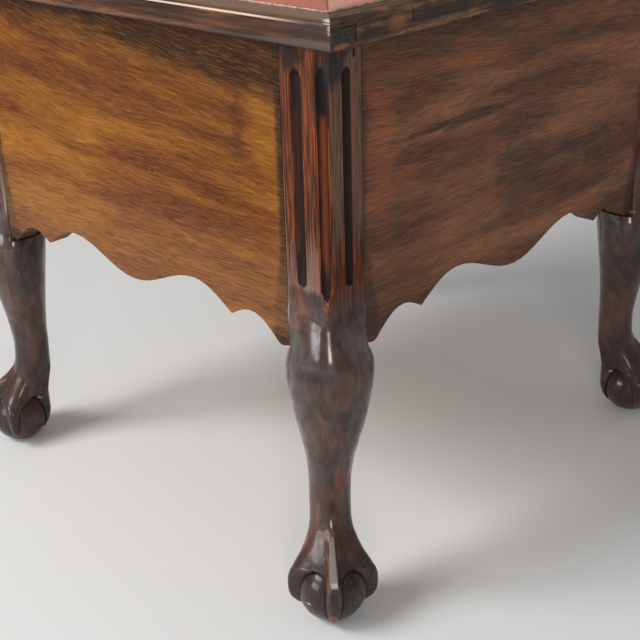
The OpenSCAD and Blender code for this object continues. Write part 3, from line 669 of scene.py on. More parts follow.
def leather_sheet(name):
    bpy.ops.object.select_all(action="DESELECT")
    bpy.ops.mesh.primitive_grid_add(x_subdivisions=GRID, y_subdivisions=GRID, size=2,
                                    location=ORIGIN)
    sheet = settle(name_piece(name))
    corner = 5 * MM
    for vert in sheet.data.vertices:
        x, y = vert.co.x * seat_half.x, vert.co.y * seat_half.y
        past_x = abs(x) - (seat_half.x - corner)
        past_y = abs(y) - (seat_half.y - corner)
        if past_x > 0 and past_y > 0:
            shrink = max(past_x, past_y) / math.hypot(past_x, past_y)
            x = math.copysign(seat_half.x - corner + past_x * shrink, x)
            y = math.copysign(seat_half.y - corner + past_y * shrink, y)
        x += seat_middle.x
        y += seat_middle.y
        vert.co = Vector((x, y, lid_top + crown_at(x, y, 0.86)))
    return sheet


leather = leather_sheet("seat_leather_cover")
print("leather", len(leather.data.vertices), "points")

# %% Let the leather swell and pull tight
SWELL_LIMIT = 7 * MM
RIM = 3 * MM                    # width of the edge that the tacks hold
LEATHER_CLOTH = {
    "use_pressure": True, "uniform_pressure_force": 2.2, "tension_stiffness": 12,
    "compression_stiffness": 12, "shear_stiffness": 6, "bending_stiffness": 0.6, "quality": 6,
}


def swell(sheet, frames=18):
    start = [v.co.copy() for v in sheet.data.vertices]
    rim = sheet.vertex_groups.new(name="tacked")
    edge = [v.index for v in sheet.data.vertices
            if abs(abs(v.co.x - seat_middle.x) - seat_half.x) < RIM
            or abs(abs(v.co.y - seat_middle.y) - seat_half.y) < RIM]
    rim.add(edge, 1.0, "REPLACE")
    cloth = sheet.modifiers.new("Swell", "CLOTH")
    cloth.settings.vertex_group_mass = rim.name
    for setting, value in LEATHER_CLOTH.items():
        setattr(cloth.settings, setting, value)
    cloth.settings.effector_weights.gravity = 0
    for step in range(1, frames + 1):
        bpy.context.scene.frame_set(step)
    pick(sheet)
    bpy.ops.object.modifier_apply(modifier=cloth.name)
    bpy.context.scene.frame_set(1)
    sheet.vertex_groups.clear()
    moves = []
    for vert, place in zip(sheet.data.vertices, start):
        move = vert.co - place
        moves.append(move.length)
        if move.length > SWELL_LIMIT:
            move *= SWELL_LIMIT / move.length
        vert.co = place + move
        vert.co.z = min(vert.co.z, seat_high.z + 2 * MM)
    print("leather swelled by at most", round(max(moves) / MM, 1), "mm")


swell(leather)

# %% Turn the leather down at its edge and close it underneath


def close_under(sheet, depth):
    edit(sheet, "DESELECT")
    bpy.ops.mesh.select_mode(type="EDGE")
    bpy.ops.mesh.select_non_manifold()
    bpy.ops.mesh.extrude_region_move(TRANSFORM_OT_translate={"value": (0, 0, -depth)})
    bpy.ops.mesh.select_all(action="DESELECT")
    bpy.ops.mesh.select_non_manifold()
    bpy.ops.mesh.fill()
    leave()
    smooth(sheet, 50)
    outward(sheet)


close_under(leather, lid_top - seat_low.z)
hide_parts("seat_leather", "seat_padding")
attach(leather, "lid")

# %% [markdown]
# A thin pale welt hides the tacked edge between the leather and the frame. It is a square
# with rounded corners, turned into a curve, given a round section, and made a mesh again.

# %% Welt round the leather
bpy.ops.object.select_all(action="DESELECT")
bpy.ops.mesh.primitive_plane_add(size=2, location=ORIGIN)
welt = name_piece("seat_welt")
for vert in welt.data.vertices:
    vert.co = Vector((seat_middle.x + vert.co.x * (seat_half.x - 0.2 * MM),
                      seat_middle.y + vert.co.y * (seat_half.y - 0.2 * MM),
                      lid_top + 0.35 * MM))
edit(welt)
bpy.ops.mesh.bevel(offset=4.5 * MM, segments=6, affect="VERTICES")
bpy.ops.mesh.select_all(action="SELECT")
bpy.ops.mesh.delete(type="ONLY_FACE")
leave()
bpy.ops.object.convert(target="CURVE")
welt = bpy.context.active_object
welt.data.bevel_depth = 0.8 * MM
welt.data.bevel_resolution = 2
bpy.ops.object.convert(target="MESH")
welt = bpy.context.active_object
bpy.ops.object.shade_smooth()
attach(welt, "lid")
print("welt", len(welt.data.polygons), "faces")

# %% [markdown]
# A finish is a small tree of nodes. These helpers add nodes and join them, and turn a
# colour as it looks on a screen, 0 to 255, into the linear values that the shader wants.
# Every pattern reads the object's own coordinates, in millimetres. A finish keeps its
# colour so far in its base, and each further colour, spread or in a patch, is laid over it.

# %% Colours


def tone(red, green, blue):
    def linear(value):
        value /= 255
        return value / 12.92 if value <= 0.04045 else ((value + 0.055) / 1.055) ** 2.4
    return (linear(red), linear(green), linear(blue), 1.0)


# %% Helpers for finishes


class Finish:
    """A material, its colour so far, and the short calls that build its nodes."""

    def __init__(self, name, roughness=0.5, **constants):
        self.material = bpy.data.materials.new(name)
        self.material.use_nodes = True
        self.tree = self.material.node_tree
        self.shader = self.tree.nodes["Principled BSDF"]
        self.base = None
        for socket, value in dict(Roughness=roughness, **constants).items():
            self.set(socket.replace("_", " "), value)
        place = self.add("TexCoord").outputs["Object"]
        self.mm = self.stretched((1000, 1000, 1000), place)
        self.x, self.y, self.z = self.add("SeparateXYZ", {0: self.mm}).outputs

    def fill(self, socket, value):
        """Links or sets an input. A colour is three numbers as a screen shows them."""
        if isinstance(value, bpy.types.NodeSocket):
            self.tree.links.new(value, socket)
        elif socket.type == "RGBA" and len(value) == 3:
            socket.default_value = tone(*value)
        else:
            socket.default_value = value

    def set(self, name, value):
        self.fill(self.shader.inputs[name], value)

    def add(self, kind, inputs=None, **settings):
        node = self.tree.nodes.new("ShaderNode" + kind)
        for key, value in settings.items():
            setattr(node, key, value)
        for socket, value in (inputs or {}).items():
            self.fill(node.inputs[socket], value)
        return node

    def stretched(self, scale, place=None, location=(0, 0, 0)):
        inputs = {"Vector": place or self.mm, "Scale": scale, "Location": location}
        return self.add("Mapping", inputs).outputs["Vector"]

    def vector(self, *parts):
        return self.add("CombineXYZ", dict(enumerate(parts))).outputs[0]

    def noise(self, scale, place=None, location=(0, 0, 0), detail=3.0, rough=0.55, bend=0.0):
        inputs = {"Vector": self.stretched(scale, place, location), "Scale": 1.0,
                  "Detail": detail, "Roughness": rough, "Distortion": bend}
        return self.add("TexNoise", inputs).outputs["Fac"]

    def cells(self, scale):
        """Distance from the edges between scattered cells."""
        inputs = {"Vector": self.stretched(scale), "Scale": 1.0}
        node = self.add("TexVoronoi", inputs, feature="DISTANCE_TO_EDGE")
        return node.outputs["Distance"]

    def mark(self, name):
        return self.add("Attribute", attribute_name=name).outputs["Fac"]

    def between(self, value, low, high, out_low=0.0, out_high=1.0):
        """Eases from out_low, where the value is low, to out_high."""
        inputs = {"Value": value, "From Min": low, "From Max": high,
                  "To Min": out_low, "To Max": out_high}
        return self.add("MapRange", inputs, interpolation_type="SMOOTHSTEP").outputs["Result"]

    def inside(self, axis, low, high, soft=0.3):
        return self.times(self.between(axis, low - soft, low + soft),
                          self.between(axis, high + soft, high - soft))

    def math(self, operation, *values):
        return self.add("Math", dict(enumerate(values)), operation=operation).outputs["Value"]

    def size(self, value):
        return self.math("ABSOLUTE", value)

    def plus(self, value, other):
        return self.math("ADD", value, other)

    def minus(self, value, other):
        return self.math("SUBTRACT", value, other)

    def times(self, value, *others):
        for other in others:
            value = self.math("MULTIPLY", value, other)
        return value

    def shifted(self, value, by, amount):
        """value + (by - 0.5) * amount"""
        return self.plus(value, self.math("MULTIPLY_ADD", by, amount, -0.5 * amount))

    def ramp(self, value, *stops):
        """Colours along a value, from rows of a place and a colour."""
        node = self.add("ValToRGB", {"Fac": value})
        ramp = node.color_ramp
        while len(ramp.elements) < len(stops):
            ramp.elements.new(0.5)
        for element, (place, colour) in zip(ramp.elements, stops):
            element.position = place
            element.color = tone(*colour) if len(colour) == 3 else colour
        return node.outputs["Color"]

    def blend(self, amount, a, b):
        return self.add("Mix", {0: amount, 6: a, 7: b}, data_type="RGBA").outputs[2]

    def lay_colour(self, amount, colour, strength=1.0):
        """Lays a colour over the base, where amount is 1 at its strongest."""
        if strength != 1.0:
            amount = self.times(amount, strength)
        self.base = self.blend(amount, self.base, colour)

    def patch(self, centre, reach, colour, strength, edge=None, ragged=1.2):
        """A colour laid at a centre, which fades to nothing at its reach on each axis."""
        place = self.stretched([1 / r for r in reach],
                               location=[-c / r for c, r in zip(centre, reach)])
        length = self.add("VectorMath", {0: place}, operation="LENGTH").outputs["Value"]
        if edge is not None:
            length = self.shifted(length, edge, ragged)
        self.lay_colour(self.between(length, 1.0, 0.35), colour, strength)

    def gloss(self, value):
        self.set("Roughness", value)

    def bump(self, height, strength, distance):
        inputs = {"Strength": strength, "Distance": distance * MM, "Height": height}
        self.set("Normal", self.add("Bump", inputs).outputs["Normal"])

    def give(self, *objects):
        """Ends the finish with its colour, and puts it on the objects."""
        self.set("Base Color", self.base)
        for obj in objects:
            obj.data.materials.clear()
            obj.data.materials.append(self.material)


# %% [markdown]
# The aprons are plain sawn boards with a calm figure at three scales: wide soft bands along
# the board, short drifts inside them, and fine pores a millimetre apart. The height is
# tilted and bent a little first, so all three follow the same lazy curves.

# %% The figure of a board
FIGURE_Z = 288.0                # height below which the figure runs level


def figure(finish, along, depth, seed, slant):
    """Bands, drifts and pores of a board whose grain runs along an axis."""
    flat = finish.vector(along, depth, finish.z)
    slow = finish.noise((0.008, 0.008, 0.014), flat, (seed, 0, seed), detail=1.5)
    over = finish.math("MAXIMUM", finish.minus(finish.z, FIGURE_Z), 0.0)
    tilted = finish.plus(finish.z, finish.times(over, along, slant))
    grain = finish.vector(along, depth, finish.shifted(tilted, slow, 16))
    bands = finish.noise((0.0045, 0.01, 0.034), grain, (seed, 2, 0), detail=2.5, rough=0.5)
    drifts = finish.noise((0.02, 0.05, 0.13), grain, (0, seed, 5), rough=0.6)
    pores = finish.noise((0.08, 0.5, 2.3), grain, (seed, 7, 1), detail=2.0, rough=0.6)
    return (finish.between(bands, 0.3, 0.7), finish.between(drifts, 0.25, 0.75),
            finish.between(pores, 0.28, 0.72))


def pored(finish, pores, dark, light):
    """Dark pores and the pale lines between them."""
    finish.lay_colour(finish.between(pores, 0.6, 0.1), dark, 0.46)
    finish.lay_colour(finish.between(pores, 0.55, 0.95), light, 0.22)


# %% [markdown]
# The front apron is amber where it was polished and golden near the post. Shade is painted
# under the lid, beside the posts and at the tips by the knees. Low specular keeps its colour
# deep.

# %% Finish of the front apron
amber = Finish("apron_front_wood", roughness=0.55, Specular_IOR_Level=0.1)
bands, drifts, pores = figure(amber, amber.x, amber.y, 3.0, 0.0013)
amber.base = amber.ramp(amber.shifted(bands, drifts, 0.34), (0.05, (88, 46, 16)),
                        (0.35, (108, 61, 20)), (0.65, (126, 76, 25)), (0.95, (144, 92, 32)))
amber.patch((0, -216, 296), (82, 20, 42), (88, 44, 24), 0.6, bands, 0.4)
amber.patch((157, -216, 362), (19, 30, 48), (142, 92, 26), 0.55, drifts, 0.7)
amber.patch((-10, -216, 376), (80, 20, 34), (90, 47, 20), 0.5, drifts, 0.5)
amber.patch((131, -216, 364), (7, 30, 26), (74, 35, 16), 0.6, drifts, 0.7)
# Painted shade under the lid.
lid_shade_level = amber.shifted(amber.math("MULTIPLY_ADD", amber.x, 0.1, amber.z), drifts, 12)
amber.lay_colour(amber.between(lid_shade_level, 387, 412), (30, 17, 9), 0.92)
# Painted shade in a band beside each post.
post_shade_reach = amber.shifted(amber.size(amber.x), drifts, 3)
post_shade_reach = amber.plus(post_shade_reach, amber.between(amber.z, 300, 214, 0, 9))
amber.lay_colour(amber.between(post_shade_reach, 164.5, 169.5), (30, 22, 18), 0.88)
amber.lay_colour(amber.between(amber.z, 310, 235), (124, 86, 62), 0.5)
# Painted shade at the apron's tip, where it meets the knee.
tip = amber.times(amber.between(amber.shifted(amber.z, drifts, 6), 228, 215),
                  amber.between(post_shade_reach, 158, 166))
amber.lay_colour(tip, (40, 34, 33), 0.85)
pored(amber, pores, (48, 24, 10), (168, 112, 46))
amber.patch((35.2, -216, 313), (1.6, 9, 2.6), (30, 18, 14), 0.9)
amber.gloss(amber.between(pores, 0, 1, 0.66, 0.52))
amber.bump(pores, 0.4, 0.1)
amber.give(aprons["apron_front"])

# %% [markdown]
# The other three aprons have the same figure, stained darker, with reddish orange where
# the staining has worn thin, and long dark smears along the grain. Shade is painted under the
# lid and beside the posts.

# %% Finish of the side and back aprons
SMEARS = [
    ((210, -158, 350), (20, 20, 62), (164, 92, 56), 0.4),
    ((210, -88, 349), (20, 92, 5.5), (50, 40, 40), 0.75),
    ((210, -55, 388), (20, 48, 8), (158, 88, 54), 0.4),
    ((210, 5, 312), (20, 48, 66), (72, 58, 54), 0.6),
    ((-210, 40, 340), (20, 70, 9), (58, 44, 42), 0.6),
    ((60, 216, 330), (80, 20, 10), (58, 44, 42), 0.6),
]


def dark_apron(name, along, depth, seed):
    finish = Finish(name, roughness=0.48, Specular_IOR_Level=0.2)
    along, depth = getattr(finish, along), getattr(finish, depth)
    bands, drifts, pores = figure(finish, along, depth, seed, 0.0004)
    finish.base = finish.ramp(finish.shifted(bands, drifts, 0.26), (0.05, (84, 56, 45)),
                              (0.35, (106, 71, 52)), (0.65, (124, 83, 60)),
                              (0.95, (142, 95, 67)))
    worn = finish.noise((0.02, 0.02, 0.06), None, (seed, seed, 0))
    finish.lay_colour(finish.between(worn, 0.5, 0.68), (150, 82, 50), 0.34)
    for smear in SMEARS:
        finish.patch(*smear, drifts, 0.8)
    # Painted shade under the lid.
    lid_shade_level = finish.shifted(finish.z, drifts, 18)
    finish.lay_colour(finish.between(lid_shade_level, 388, 420), (54, 42, 38), 0.72)
    # Painted shade in a band beside each post.
    post_shade_reach = finish.shifted(finish.size(along), drifts, 5)
    post_shade_reach = finish.plus(post_shade_reach, finish.between(finish.z, 290, 212, 0, 12))
    finish.lay_colour(finish.between(post_shade_reach, 172, 178), (48, 36, 38), 0.66)
    pored(finish, pores, (54, 38, 34), (160, 108, 74))
    finish.gloss(finish.between(pores, 0, 1, 0.62, 0.48))
    finish.bump(pores, 0.4, 0.1)
    return finish


side_wood = dark_apron("apron_side_wood", "y", "x", 11.0)
side_wood.give(aprons["apron_left"], aprons["apron_right"])
dark_apron("apron_back_wood", "x", "y", 19.0).give(aprons["apron_back"])

# %% [markdown]
# The legs carry the oldest polish. The wood is red-brown on the faces of the posts and rubbed
# to orange on the arrises; shade is painted almost black in the hollows. The knee and the foot
# are smooth and glossy, so lamps show in them as soft white patches.

# %% Patterns and stains of the legs
dark = Finish("leg_wood", roughness=0.3, Specular_IOR_Level=0.15, Coat_Roughness=0.15)
wear, hollow_shade, dust_and_sheen = (dark.mark(name) for name in ("wear", "hollow_shade", "dust_and_sheen"))
streaks = dark.noise((0.8, 0.8, 0.03), rough=0.6)
broad = dark.noise((0.09, 0.09, 0.018), None, (4, 1, 0))
mottle = dark.noise((0.045, 0.045, 0.022), None, (0, 9, 3), rough=0.5)
blotches = dark.noise((0.17, 0.17, 0.08), None, (6, 2, 0), rough=0.5)
fine = dark.noise((1.3, 1.3, 0.12), rough=0.7)
on_post = dark.between(dark.shifted(dark.z, broad, 36), 236, 272)
post_tint = dark.shifted(dark.between(streaks, 0.3, 0.7), broad, 1.0)
post = dark.ramp(post_tint, (0.05, (46, 23, 13)), (0.4, (74, 36, 18)), (0.7, (96, 46, 20)),
                 (0.95, (122, 60, 24)))
dark.base = dark.ramp(dark.between(mottle, 0.3, 0.7), (0.05, (46, 34, 31)),
                      (0.55, (62, 43, 36)), (0.95, (82, 52, 41)))
dark.lay_colour(dark.between(blotches, 0.58, 0.74), (104, 58, 36), 0.35)
dark.lay_colour(dark.between(dark.z, 80, 30), (38, 33, 32), 0.5)
dark.lay_colour(on_post, post)
pits = dark.times(dark.between(fine, 0.46, 0.28), dark.between(on_post, 0, 1, 0.25, 1))
dark.lay_colour(pits, (36, 19, 13), 0.5)
# Grey from the dust and sheen mark: dust on the sides of the posts, and painted highlights
# beside the aprons and on the front talon.
greyed = dark.shifted(dust_and_sheen, dark.between(streaks, 0.35, 0.65), 0.5)
grey = dark.blend(on_post, (134, 127, 124), (112, 92, 80))
dark.lay_colour(dark.between(greyed, 0.05, 1.0), grey, 0.8)
rubbed = dark.between(dark.shifted(wear, dark.between(streaks, 0.25, 0.75), 0.7), 0.3, 0.8)
dark.lay_colour(dark.times(rubbed, on_post), (142, 66, 28), 0.75)
rubbed = dark.between(dark.shifted(wear, blotches, 0.6), 0.25, 0.7)
dark.lay_colour(dark.times(rubbed, dark.minus(1.0, on_post)), (124, 74, 44), 0.72)
# Painted shade, near black, in the flutes and in the creases of the foot.
shaded_hollows = dark.between(dark.shifted(hollow_shade, streaks, 0.5), 0.2, 0.6)
dark.lay_colour(shaded_hollows, (22, 15, 13), 0.94)
# Painted shade: a small slot in the post under the lid is painted near black, as the shade
# inside it.
slot = dark.times(dark.inside(dark.size(dark.y), 185, 187.2), dark.inside(dark.z, 413, 418.5),
                  dark.between(dark.x, 209, 209.6))
dark.lay_colour(slot, (10, 8, 8))

# %% Marks, painted shade and painted sheen, and polish of the legs
PATCHES_ON_LEGS = [
    # Painted shade under the lid, on the side face at the top of the post.
    ((210, -206, 409), (7, 13, 18), (42, 41, 42), 0.9),
    # Painted shade at the top of the corner flute.
    ((203.5, -212.5, 402), (5.5, 5.5, 34), (24, 19, 18), 0.9),
    # Painted shade in the hollow below the flutes.
    ((197, -218, 254), (13, 9, 9), (34, 33, 35), 0.75),
    ((183, -220, 243), (8, 9, 18), (104, 58, 34), 0.6),
    ((219, -209, 192), (7, 7, 20), (92, 46, 30), 0.55),
    # Painted sheen: grey on the right of the knee.
    ((219, -198, 226), (11, 20, 26), (96, 82, 78), 0.7),
    # Painted shade under the knee's bulge.
    ((203, -228, 203), (24, 16, 7), (30, 21, 19), 0.7),
    ((206, -204, 113), (7, 7, 17), (112, 52, 30), 0.6),
    ((206, -219, 171), (3, 5, 10), (112, 76, 56), 0.5),
    # The next two: painted shade under the lid, at the top of the post's front and side.
    ((184, -216, 422), (17, 10, 22), (30, 19, 14), 0.9),
    ((208, -196, 422), (8, 17, 13), (44, 40, 40), 0.75),
    # Painted shade in the hollow above the front talon.
    ((203.5, -210, 91), (4.5, 4.5, 9), (30, 18, 16), 0.75),
    # Painted sheen: grey on the left of the ankle.
    ((193, -214, 82), (3, 5, 15), (104, 88, 84), 0.45),
    ((183, -226, 62), (9, 9, 11), (136, 84, 56), 0.7),
    ((214, -196, 56), (9, 9, 9), (96, 52, 36), 0.6),
    ((210.3, -216.3, 243.6), (1.5, 1.5, 1.4), (216, 206, 198), 0.9),
    ((211, -217, 236.3), (1.2, 1.2, 1.2), (206, 196, 190), 0.9),
    ((204.6, -238.6, 22), (2.2, 2.2, 0.9), (206, 196, 190), 0.85),
    # Painted shade at the top of the corner flute of the front left leg.
    ((-204, -212, 400), (7, 7, 26), (30, 24, 22), 0.8),
    ((-200, -222, 190), (16, 12, 14), (86, 46, 32), 0.5),
    # Painted shade at the top of the corner flute of the back right leg.
    ((204, 214, 396), (8, 8, 30), (34, 27, 25), 0.8),
]
for leg_patch in PATCHES_ON_LEGS:
    dark.patch(*leg_patch, blotches, 0.9)
bare_wood = dark.math("MAXIMUM", on_post, shaded_hollows)
dark.gloss(dark.between(bare_wood, 0, 1, 0.36, 0.62))
coat = dark.times(dark.between(blotches, 0.4, 0.62, 1.0, 0.5), dark.minus(1.0, bare_wood),
                  dark.between(dark.z, 60, 130, 0.55, 1.0))
dark.set("Coat Weight", coat)
dark.bump(dark.times(fine, on_post), 0.3, 0.1)
dark.give(*legs.values())

# %% [markdown]
# The lid's front rail has kept its gloss. Its tenons come through the side rails, so their
# ends show end grain. On the front rail, the pale top, the pale band low on the nose, the pale
# line on the arris and the white spots at the corner are painted reflections and highlights.
# The side rails are worn and dull, dented, with a crack by the tenon.

# %% Finish of the front rail


def rail_grain(finish, along, seed):
    """Streaks along a rail and fine pores in them."""
    across = finish.y if along == finish.x else finish.x
    place = finish.vector(along, across, finish.z)
    streaks = finish.noise((0.012, 0.22, 0.22), place, (seed, 0, 0), detail=4.0, rough=0.6)
    pores = finish.noise((0.09, 1.1, 1.1), place, (0, seed, 0), detail=2.5, rough=0.7)
    return finish.between(streaks, 0.3, 0.7), finish.between(pores, 0.32, 0.68)


rail = Finish("rail_front_wood", roughness=0.25, Specular_IOR_Level=0.3)
streaks, pores = rail_grain(rail, rail.x, 2.0)
patches = rail.noise((0.02, 0.06, 0.06))
rail.base = rail.ramp(rail.shifted(streaks, patches, 1.0), (0.05, (38, 20, 12)),
                      (0.45, (62, 34, 18)), (0.75, (90, 50, 22)), (0.95, (120, 70, 28)))
rail.lay_colour(rail.between(pores, 0.5, 0.15), (48, 28, 20), 0.5)
height = rail.minus(rail.z, lid_base / MM)
to_corner = rail.between(rail.x, 140, 215)
# Painted reflection: the top of the rail is painted paler.
top = rail.between(height, 17, 19.5)
rail.lay_colour(top, (138, 110, 88), 0.6)
rail.lay_colour(rail.times(to_corner, rail.minus(1.0, top)), (46, 29, 21), 0.7)
# Painted reflection of the floor: a pale band low on the nose, widening towards the corner.
reflection_height = rail.math("MULTIPLY_ADD", to_corner, -3.5, height)
floor_reflection = rail.times(rail.between(reflection_height, 4.4, 2.4), rail.between(rail.x, 120, 190, 0.3, 1.0))
rail.lay_colour(floor_reflection, (92, 78, 72), 0.52)
# Painted highlight: a pale line along the arris, fading out towards the corner.
arris = rail.times(rail.inside(height, 15.6, 16.7), rail.between(rail.x, 212, 150))
rail.lay_colour(arris, (214, 198, 178), 0.85)
# Painted highlights at the corner: a white spot on top and a paler streak down the mitre.
rail.patch((221, -219.5, 442), (6, 3.6, 3.6), (206, 194, 182), 0.8, pores, 0.8)
rail.patch((223, -222, 437), (1.8, 3, 5), (176, 160, 146), 0.6, pores, 0.9)
rings = rail.noise((0.2, 0.25, 1.4))
end_grain = rail.ramp(rings, (0.3, (34, 32, 31)), (0.6, (58, 52, 48)), (0.8, (82, 76, 70)))
rail.lay_colour(rail.between(rail.size(rail.x), 223.6, 223.95), end_grain)
rail.gloss(rail.between(patches, 0.3, 0.7, 0.22, 0.34))
rail.bump(pores, 0.25, 0.1)
rail.give(rails["lid_front_rail"])

# %% Finish of the side and back rails
RAIL_FRONT_Y = 222.0
CRACKS = [                      # from, to and softness, along a side rail and up its face
    ((21.6, 23.2, 0.3), (4, 15, 0.3)),
    ((9, 20, 2.0), (13.7, 14.8, 0.3)),
    ((76, 77.4, 0.3), (8, 17, 2.0)),
]


def dull_rail(name, along, seed):
    finish = Finish(name, roughness=0.5, Specular_IOR_Level=0.3)
    streaks, pores = rail_grain(finish, getattr(finish, along), seed)
    patches = finish.noise((0.05, 0.05, 0.09), None, (seed, 0, 2), detail=4.0, rough=0.6)
    finish.base = finish.ramp(finish.shifted(streaks, patches, 1.8), (0.1, (56, 42, 36)),
                              (0.45, (82, 60, 46)), (0.7, (108, 76, 54)), (0.95, (138, 96, 66)))
    finish.lay_colour(finish.between(pores, 0.5, 0.15), (42, 32, 29), 0.5)
    dents = finish.noise((0.16, 0.16, 0.28), None, (3, 3, seed), detail=2.0)
    dents = finish.between(dents, 0.62, 0.72)
    finish.lay_colour(dents, (40, 34, 34), 0.6)
    if along == "y":
        front = finish.plus(finish.y, RAIL_FRONT_Y)
        height = finish.minus(finish.z, lid_base / MM)
        face = finish.between(finish.size(finish.x), 222.5, 223.5)
        for level, upright in CRACKS:
            crack = finish.times(finish.inside(front, *level), finish.inside(height, *upright),
                                 face)
            finish.lay_colour(crack, (18, 14, 13))
        finish.patch((224, -160, 432), (8, 12, 8), (146, 90, 54), 0.5, patches, 0.9)
        finish.patch((224, -212, 425), (8, 9, 4), (150, 96, 66), 0.6, patches, 0.7)
    finish.gloss(finish.between(patches, 0.3, 0.7, 0.44, 0.62))
    finish.bump(finish.plus(pores, finish.times(dents, -3.0)), 0.4, 0.12)
    return finish


side_rail = dull_rail("rail_side_wood", "y", 5.0)
side_rail.give(rails["lid_left_rail"], rails["lid_right_rail"])
dull_rail("rail_back_wood", "x", 8.0).give(rails["lid_back_rail"])

# %% [markdown]
# Old red leather: faded to salmon near its edge, darker in the grain, and folded under at each
# corner, where a dark line runs up from the frame. A painted highlight lightens the side half
# of each corner.

# %% Finish of the leather
red = Finish("seat_leather", roughness=0.45, Specular_IOR_Level=0.4, Sheen_Weight=0.45,
             Sheen_Roughness=0.45, Sheen_Tint=(255, 206, 190))
worn = red.noise((0.014, 0.014, 0.014), detail=4.0, rough=0.6)
clouds = red.noise((0.07, 0.07, 0.07), None, (7, 0, 0), detail=4.0, rough=0.6)
red.base = red.ramp(red.shifted(red.between(worn, 0.22, 0.78), clouds, 0.6),
                    (0.05, (164, 76, 62)), (0.4, (180, 90, 71)), (0.7, (194, 105, 80)),
                    (0.95, (208, 124, 92)))
grain = red.between(red.cells((0.8, 0.8, 0.8)), 0.0, 0.22)
red.lay_colour(red.between(grain, 0.6, 0.0, 0.0, 0.55), (104, 38, 36))
from_side = red.minus(seat_half.x / MM, red.size(red.x))
from_middle = red.size(red.minus(red.y, seat_middle.y / MM))
from_end = red.minus(seat_half.y / MM, from_middle)
nearest = red.math("MINIMUM", from_side, from_end)
furthest = red.math("MAXIMUM", from_side, from_end)
red.lay_colour(red.between(nearest, 16, 2), (196, 116, 88), 0.35)
# Painted highlight: the half of each corner on the side rail's side of the fold is lightened.
side_corner_highlight = red.times(red.between(red.minus(from_end, from_side), -1, 1),
                     red.between(from_side, 0, 8), red.between(furthest, 80, 40))
red.lay_colour(side_corner_highlight, (226, 166, 140), 0.6)
off_seam = red.size(red.minus(from_side, from_end))
near_corner = red.between(furthest, 46, 38)
seam = red.times(red.between(off_seam, 1.1, 0.5), near_corner)
red.lay_colour(seam, (44, 16, 16), 0.9)
red.gloss(red.between(clouds, 0.3, 0.7, 0.36, 0.5))
fold = red.times(red.between(off_seam, 3.4, 0.6), near_corner)
relief = red.plus(grain, red.times(fold, 2.5))
red.bump(red.plus(relief, red.times(seam, -7.0)), 0.5, 0.16)
red.give(leather)

cord = Finish("seat_welt", roughness=0.6)
dirt = cord.noise((0.25, 0.25, 0.25), detail=4.0)
cord.base = cord.ramp(dirt, (0.3, (126, 98, 76)), (0.6, (188, 162, 136)),
                      (0.8, (206, 186, 162)))
cord.give(welt)

# %% [markdown]
# Inside, the box is plain wood with planed faces, and the shoe rest is a harder, redder
# wood. The grain of each board runs along its length.

# %% Finishes of the wood inside


def plain_wood(name, scale, colours, seed, roughness=0.6):
    """Bare or oiled wood whose grain runs along the axis with the smallest scale."""
    light, dark = (tone(*colour) for colour in colours)
    middle = tuple((a + b) / 2 for a, b in zip(light, dark))
    finish = Finish(name, roughness=roughness)
    slow = finish.noise([s * 0.12 for s in scale], None, (seed, 0, 0), detail=2.0)
    lines = finish.noise(scale, None, (seed, seed, 0), detail=5.0, rough=0.7, bend=0.3)
    fine = finish.noise([s * 5 for s in scale], detail=2.0)
    tint = finish.shifted(finish.between(lines, 0.3, 0.7), slow, 0.8)
    finish.base = finish.ramp(tint, (0.05, dark), (0.5, middle), (0.95, light))
    finish.lay_colour(finish.between(fine, 0.42, 0.25, 0.0, 0.4), dark)
    finish.gloss(finish.between(lines, 0.3, 0.7, roughness - 0.06, roughness + 0.06))
    finish.bump(fine, 0.3, 0.1)
    return finish


PALE = (196, 156, 108), (148, 106, 66)
RUDDY = (132, 80, 48), (82, 44, 27)
INSIDE = [
    ("inner_wood_across", (0.02, 0.35, 0.35), PALE, 1.0, 0.6,
     ("cleat_front", "cleat_back", "bottom_board", "divider_left", "divider_right",
      "seat_board")),
    ("inner_wood_deep", (0.35, 0.02, 0.35), PALE, 4.0, 0.6,
     ("cleat_left", "cleat_right", "partition_left", "partition_right")),
    ("inner_wood_upright", (0.35, 0.35, 0.02), PALE, 6.0, 0.6, ("glue_blocks",)),
    ("rest_wood", (0.3, 0.02, 0.3), RUDDY, 2.0, 0.45, ("rest_base", "rest_sole")),
    ("rest_wood_upright", (0.3, 0.3, 0.02), RUDDY, 3.0, 0.45, ("rest_pillar",)),
]
for *wood, names in INSIDE:
    plain_wood(*wood).give(*(nodes[name] for name in names))

# %% [markdown]
# Brass that is never cleaned is tarnished brown in patches, and brighter and glossier between
# them.

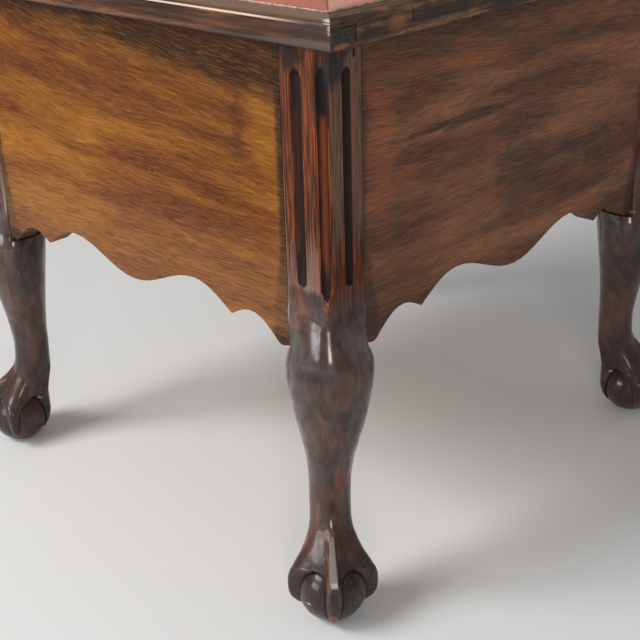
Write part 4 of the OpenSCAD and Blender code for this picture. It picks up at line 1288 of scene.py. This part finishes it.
# %% Finish of the hinges and screws
brass = Finish("hinge_brass", roughness=0.34, Metallic=1.0)
tarnish = brass.noise((0.14, 0.14, 0.14), detail=5.0, rough=0.65)
brass.base = brass.ramp(tarnish, (0.3, (112, 84, 50)), (0.55, (168, 132, 76)),
                        (0.75, (196, 160, 98)))
brass.gloss(brass.between(tarnish, 0.3, 0.7, 0.5, 0.28))
brass.bump(brass.noise((1.2, 1.2, 1.2), detail=2.0), 0.15, 0.05)
brass.give(*(obj for name, obj in nodes.items() if "hinge" in name or "screws" in name))
bare_nodes = [name for name, obj in nodes.items() if not obj.data.materials]
print("nodes without a finish", bare_nodes)

# %% [markdown]
# A pale paper floor, a soft key lamp, two weak lamps that show in the polish, and a camera
# that looks down on the front right corner.

# %% Floor and light
bpy.ops.object.select_all(action="DESELECT")
bpy.ops.mesh.primitive_plane_add(size=14, location=(0, 0, -0.0002))
floor = name_piece("floor")
paper = Finish("floor_paper", roughness=0.9)
paper.base = tone(234, 234, 233)
paper.give(floor)

world = bpy.data.worlds.new("studio")
bpy.context.scene.world = world
world.use_nodes = True
backdrop = world.node_tree.nodes["Background"].inputs
backdrop["Color"].default_value = (1, 1, 1, 1)
backdrop["Strength"].default_value = 0.3
MIDDLE_OF_STOOL = Vector((0, 0, 0.25))


def soft_light(name, place, size, watts):
    data = bpy.data.lights.new(name, "AREA")
    data.shape = "RECTANGLE"
    data.size, data.size_y = size
    data.energy = watts
    lamp = bpy.data.objects.new(name, data)
    bpy.context.scene.collection.objects.link(lamp)
    lamp.location = place
    lamp.rotation_euler = (MIDDLE_OF_STOOL - Vector(place)).to_track_quat("-Z", "Y").to_euler()
    print(name, watts, "W")


soft_light("key", (-0.9, -1.9, 1.9), (1.2, 1.0), 47)
soft_light("low fill", (-0.66, -2.22, 0.62), (1.0, 0.6), 15)
soft_light("camera side", (1.54, -1.51, 0.63), (0.5, 0.5), 11)

# %% Camera
CAMERA_TURN = 0.7709            # radians round the stool, from the front
CAMERA_DOWN = 0.4273            # below level
CAMERA_ROLL = -0.0306
camera_data = bpy.data.cameras.new("camera")
camera_data.lens = 67.5
camera_data.sensor_width = 36
camera = bpy.data.objects.new("camera", camera_data)
bpy.context.scene.collection.objects.link(camera)
camera.matrix_world = (Matrix.Translation((0.7108, -0.7390, 0.5736))
                       @ Matrix.Rotation(CAMERA_TURN, 4, "Z")
                       @ Matrix.Rotation(math.pi / 2 - CAMERA_DOWN, 4, "X")
                       @ Matrix.Rotation(CAMERA_ROLL, 4, "Z"))
bpy.context.scene.camera = camera
bpy.context.scene.view_settings.view_transform = "Standard"
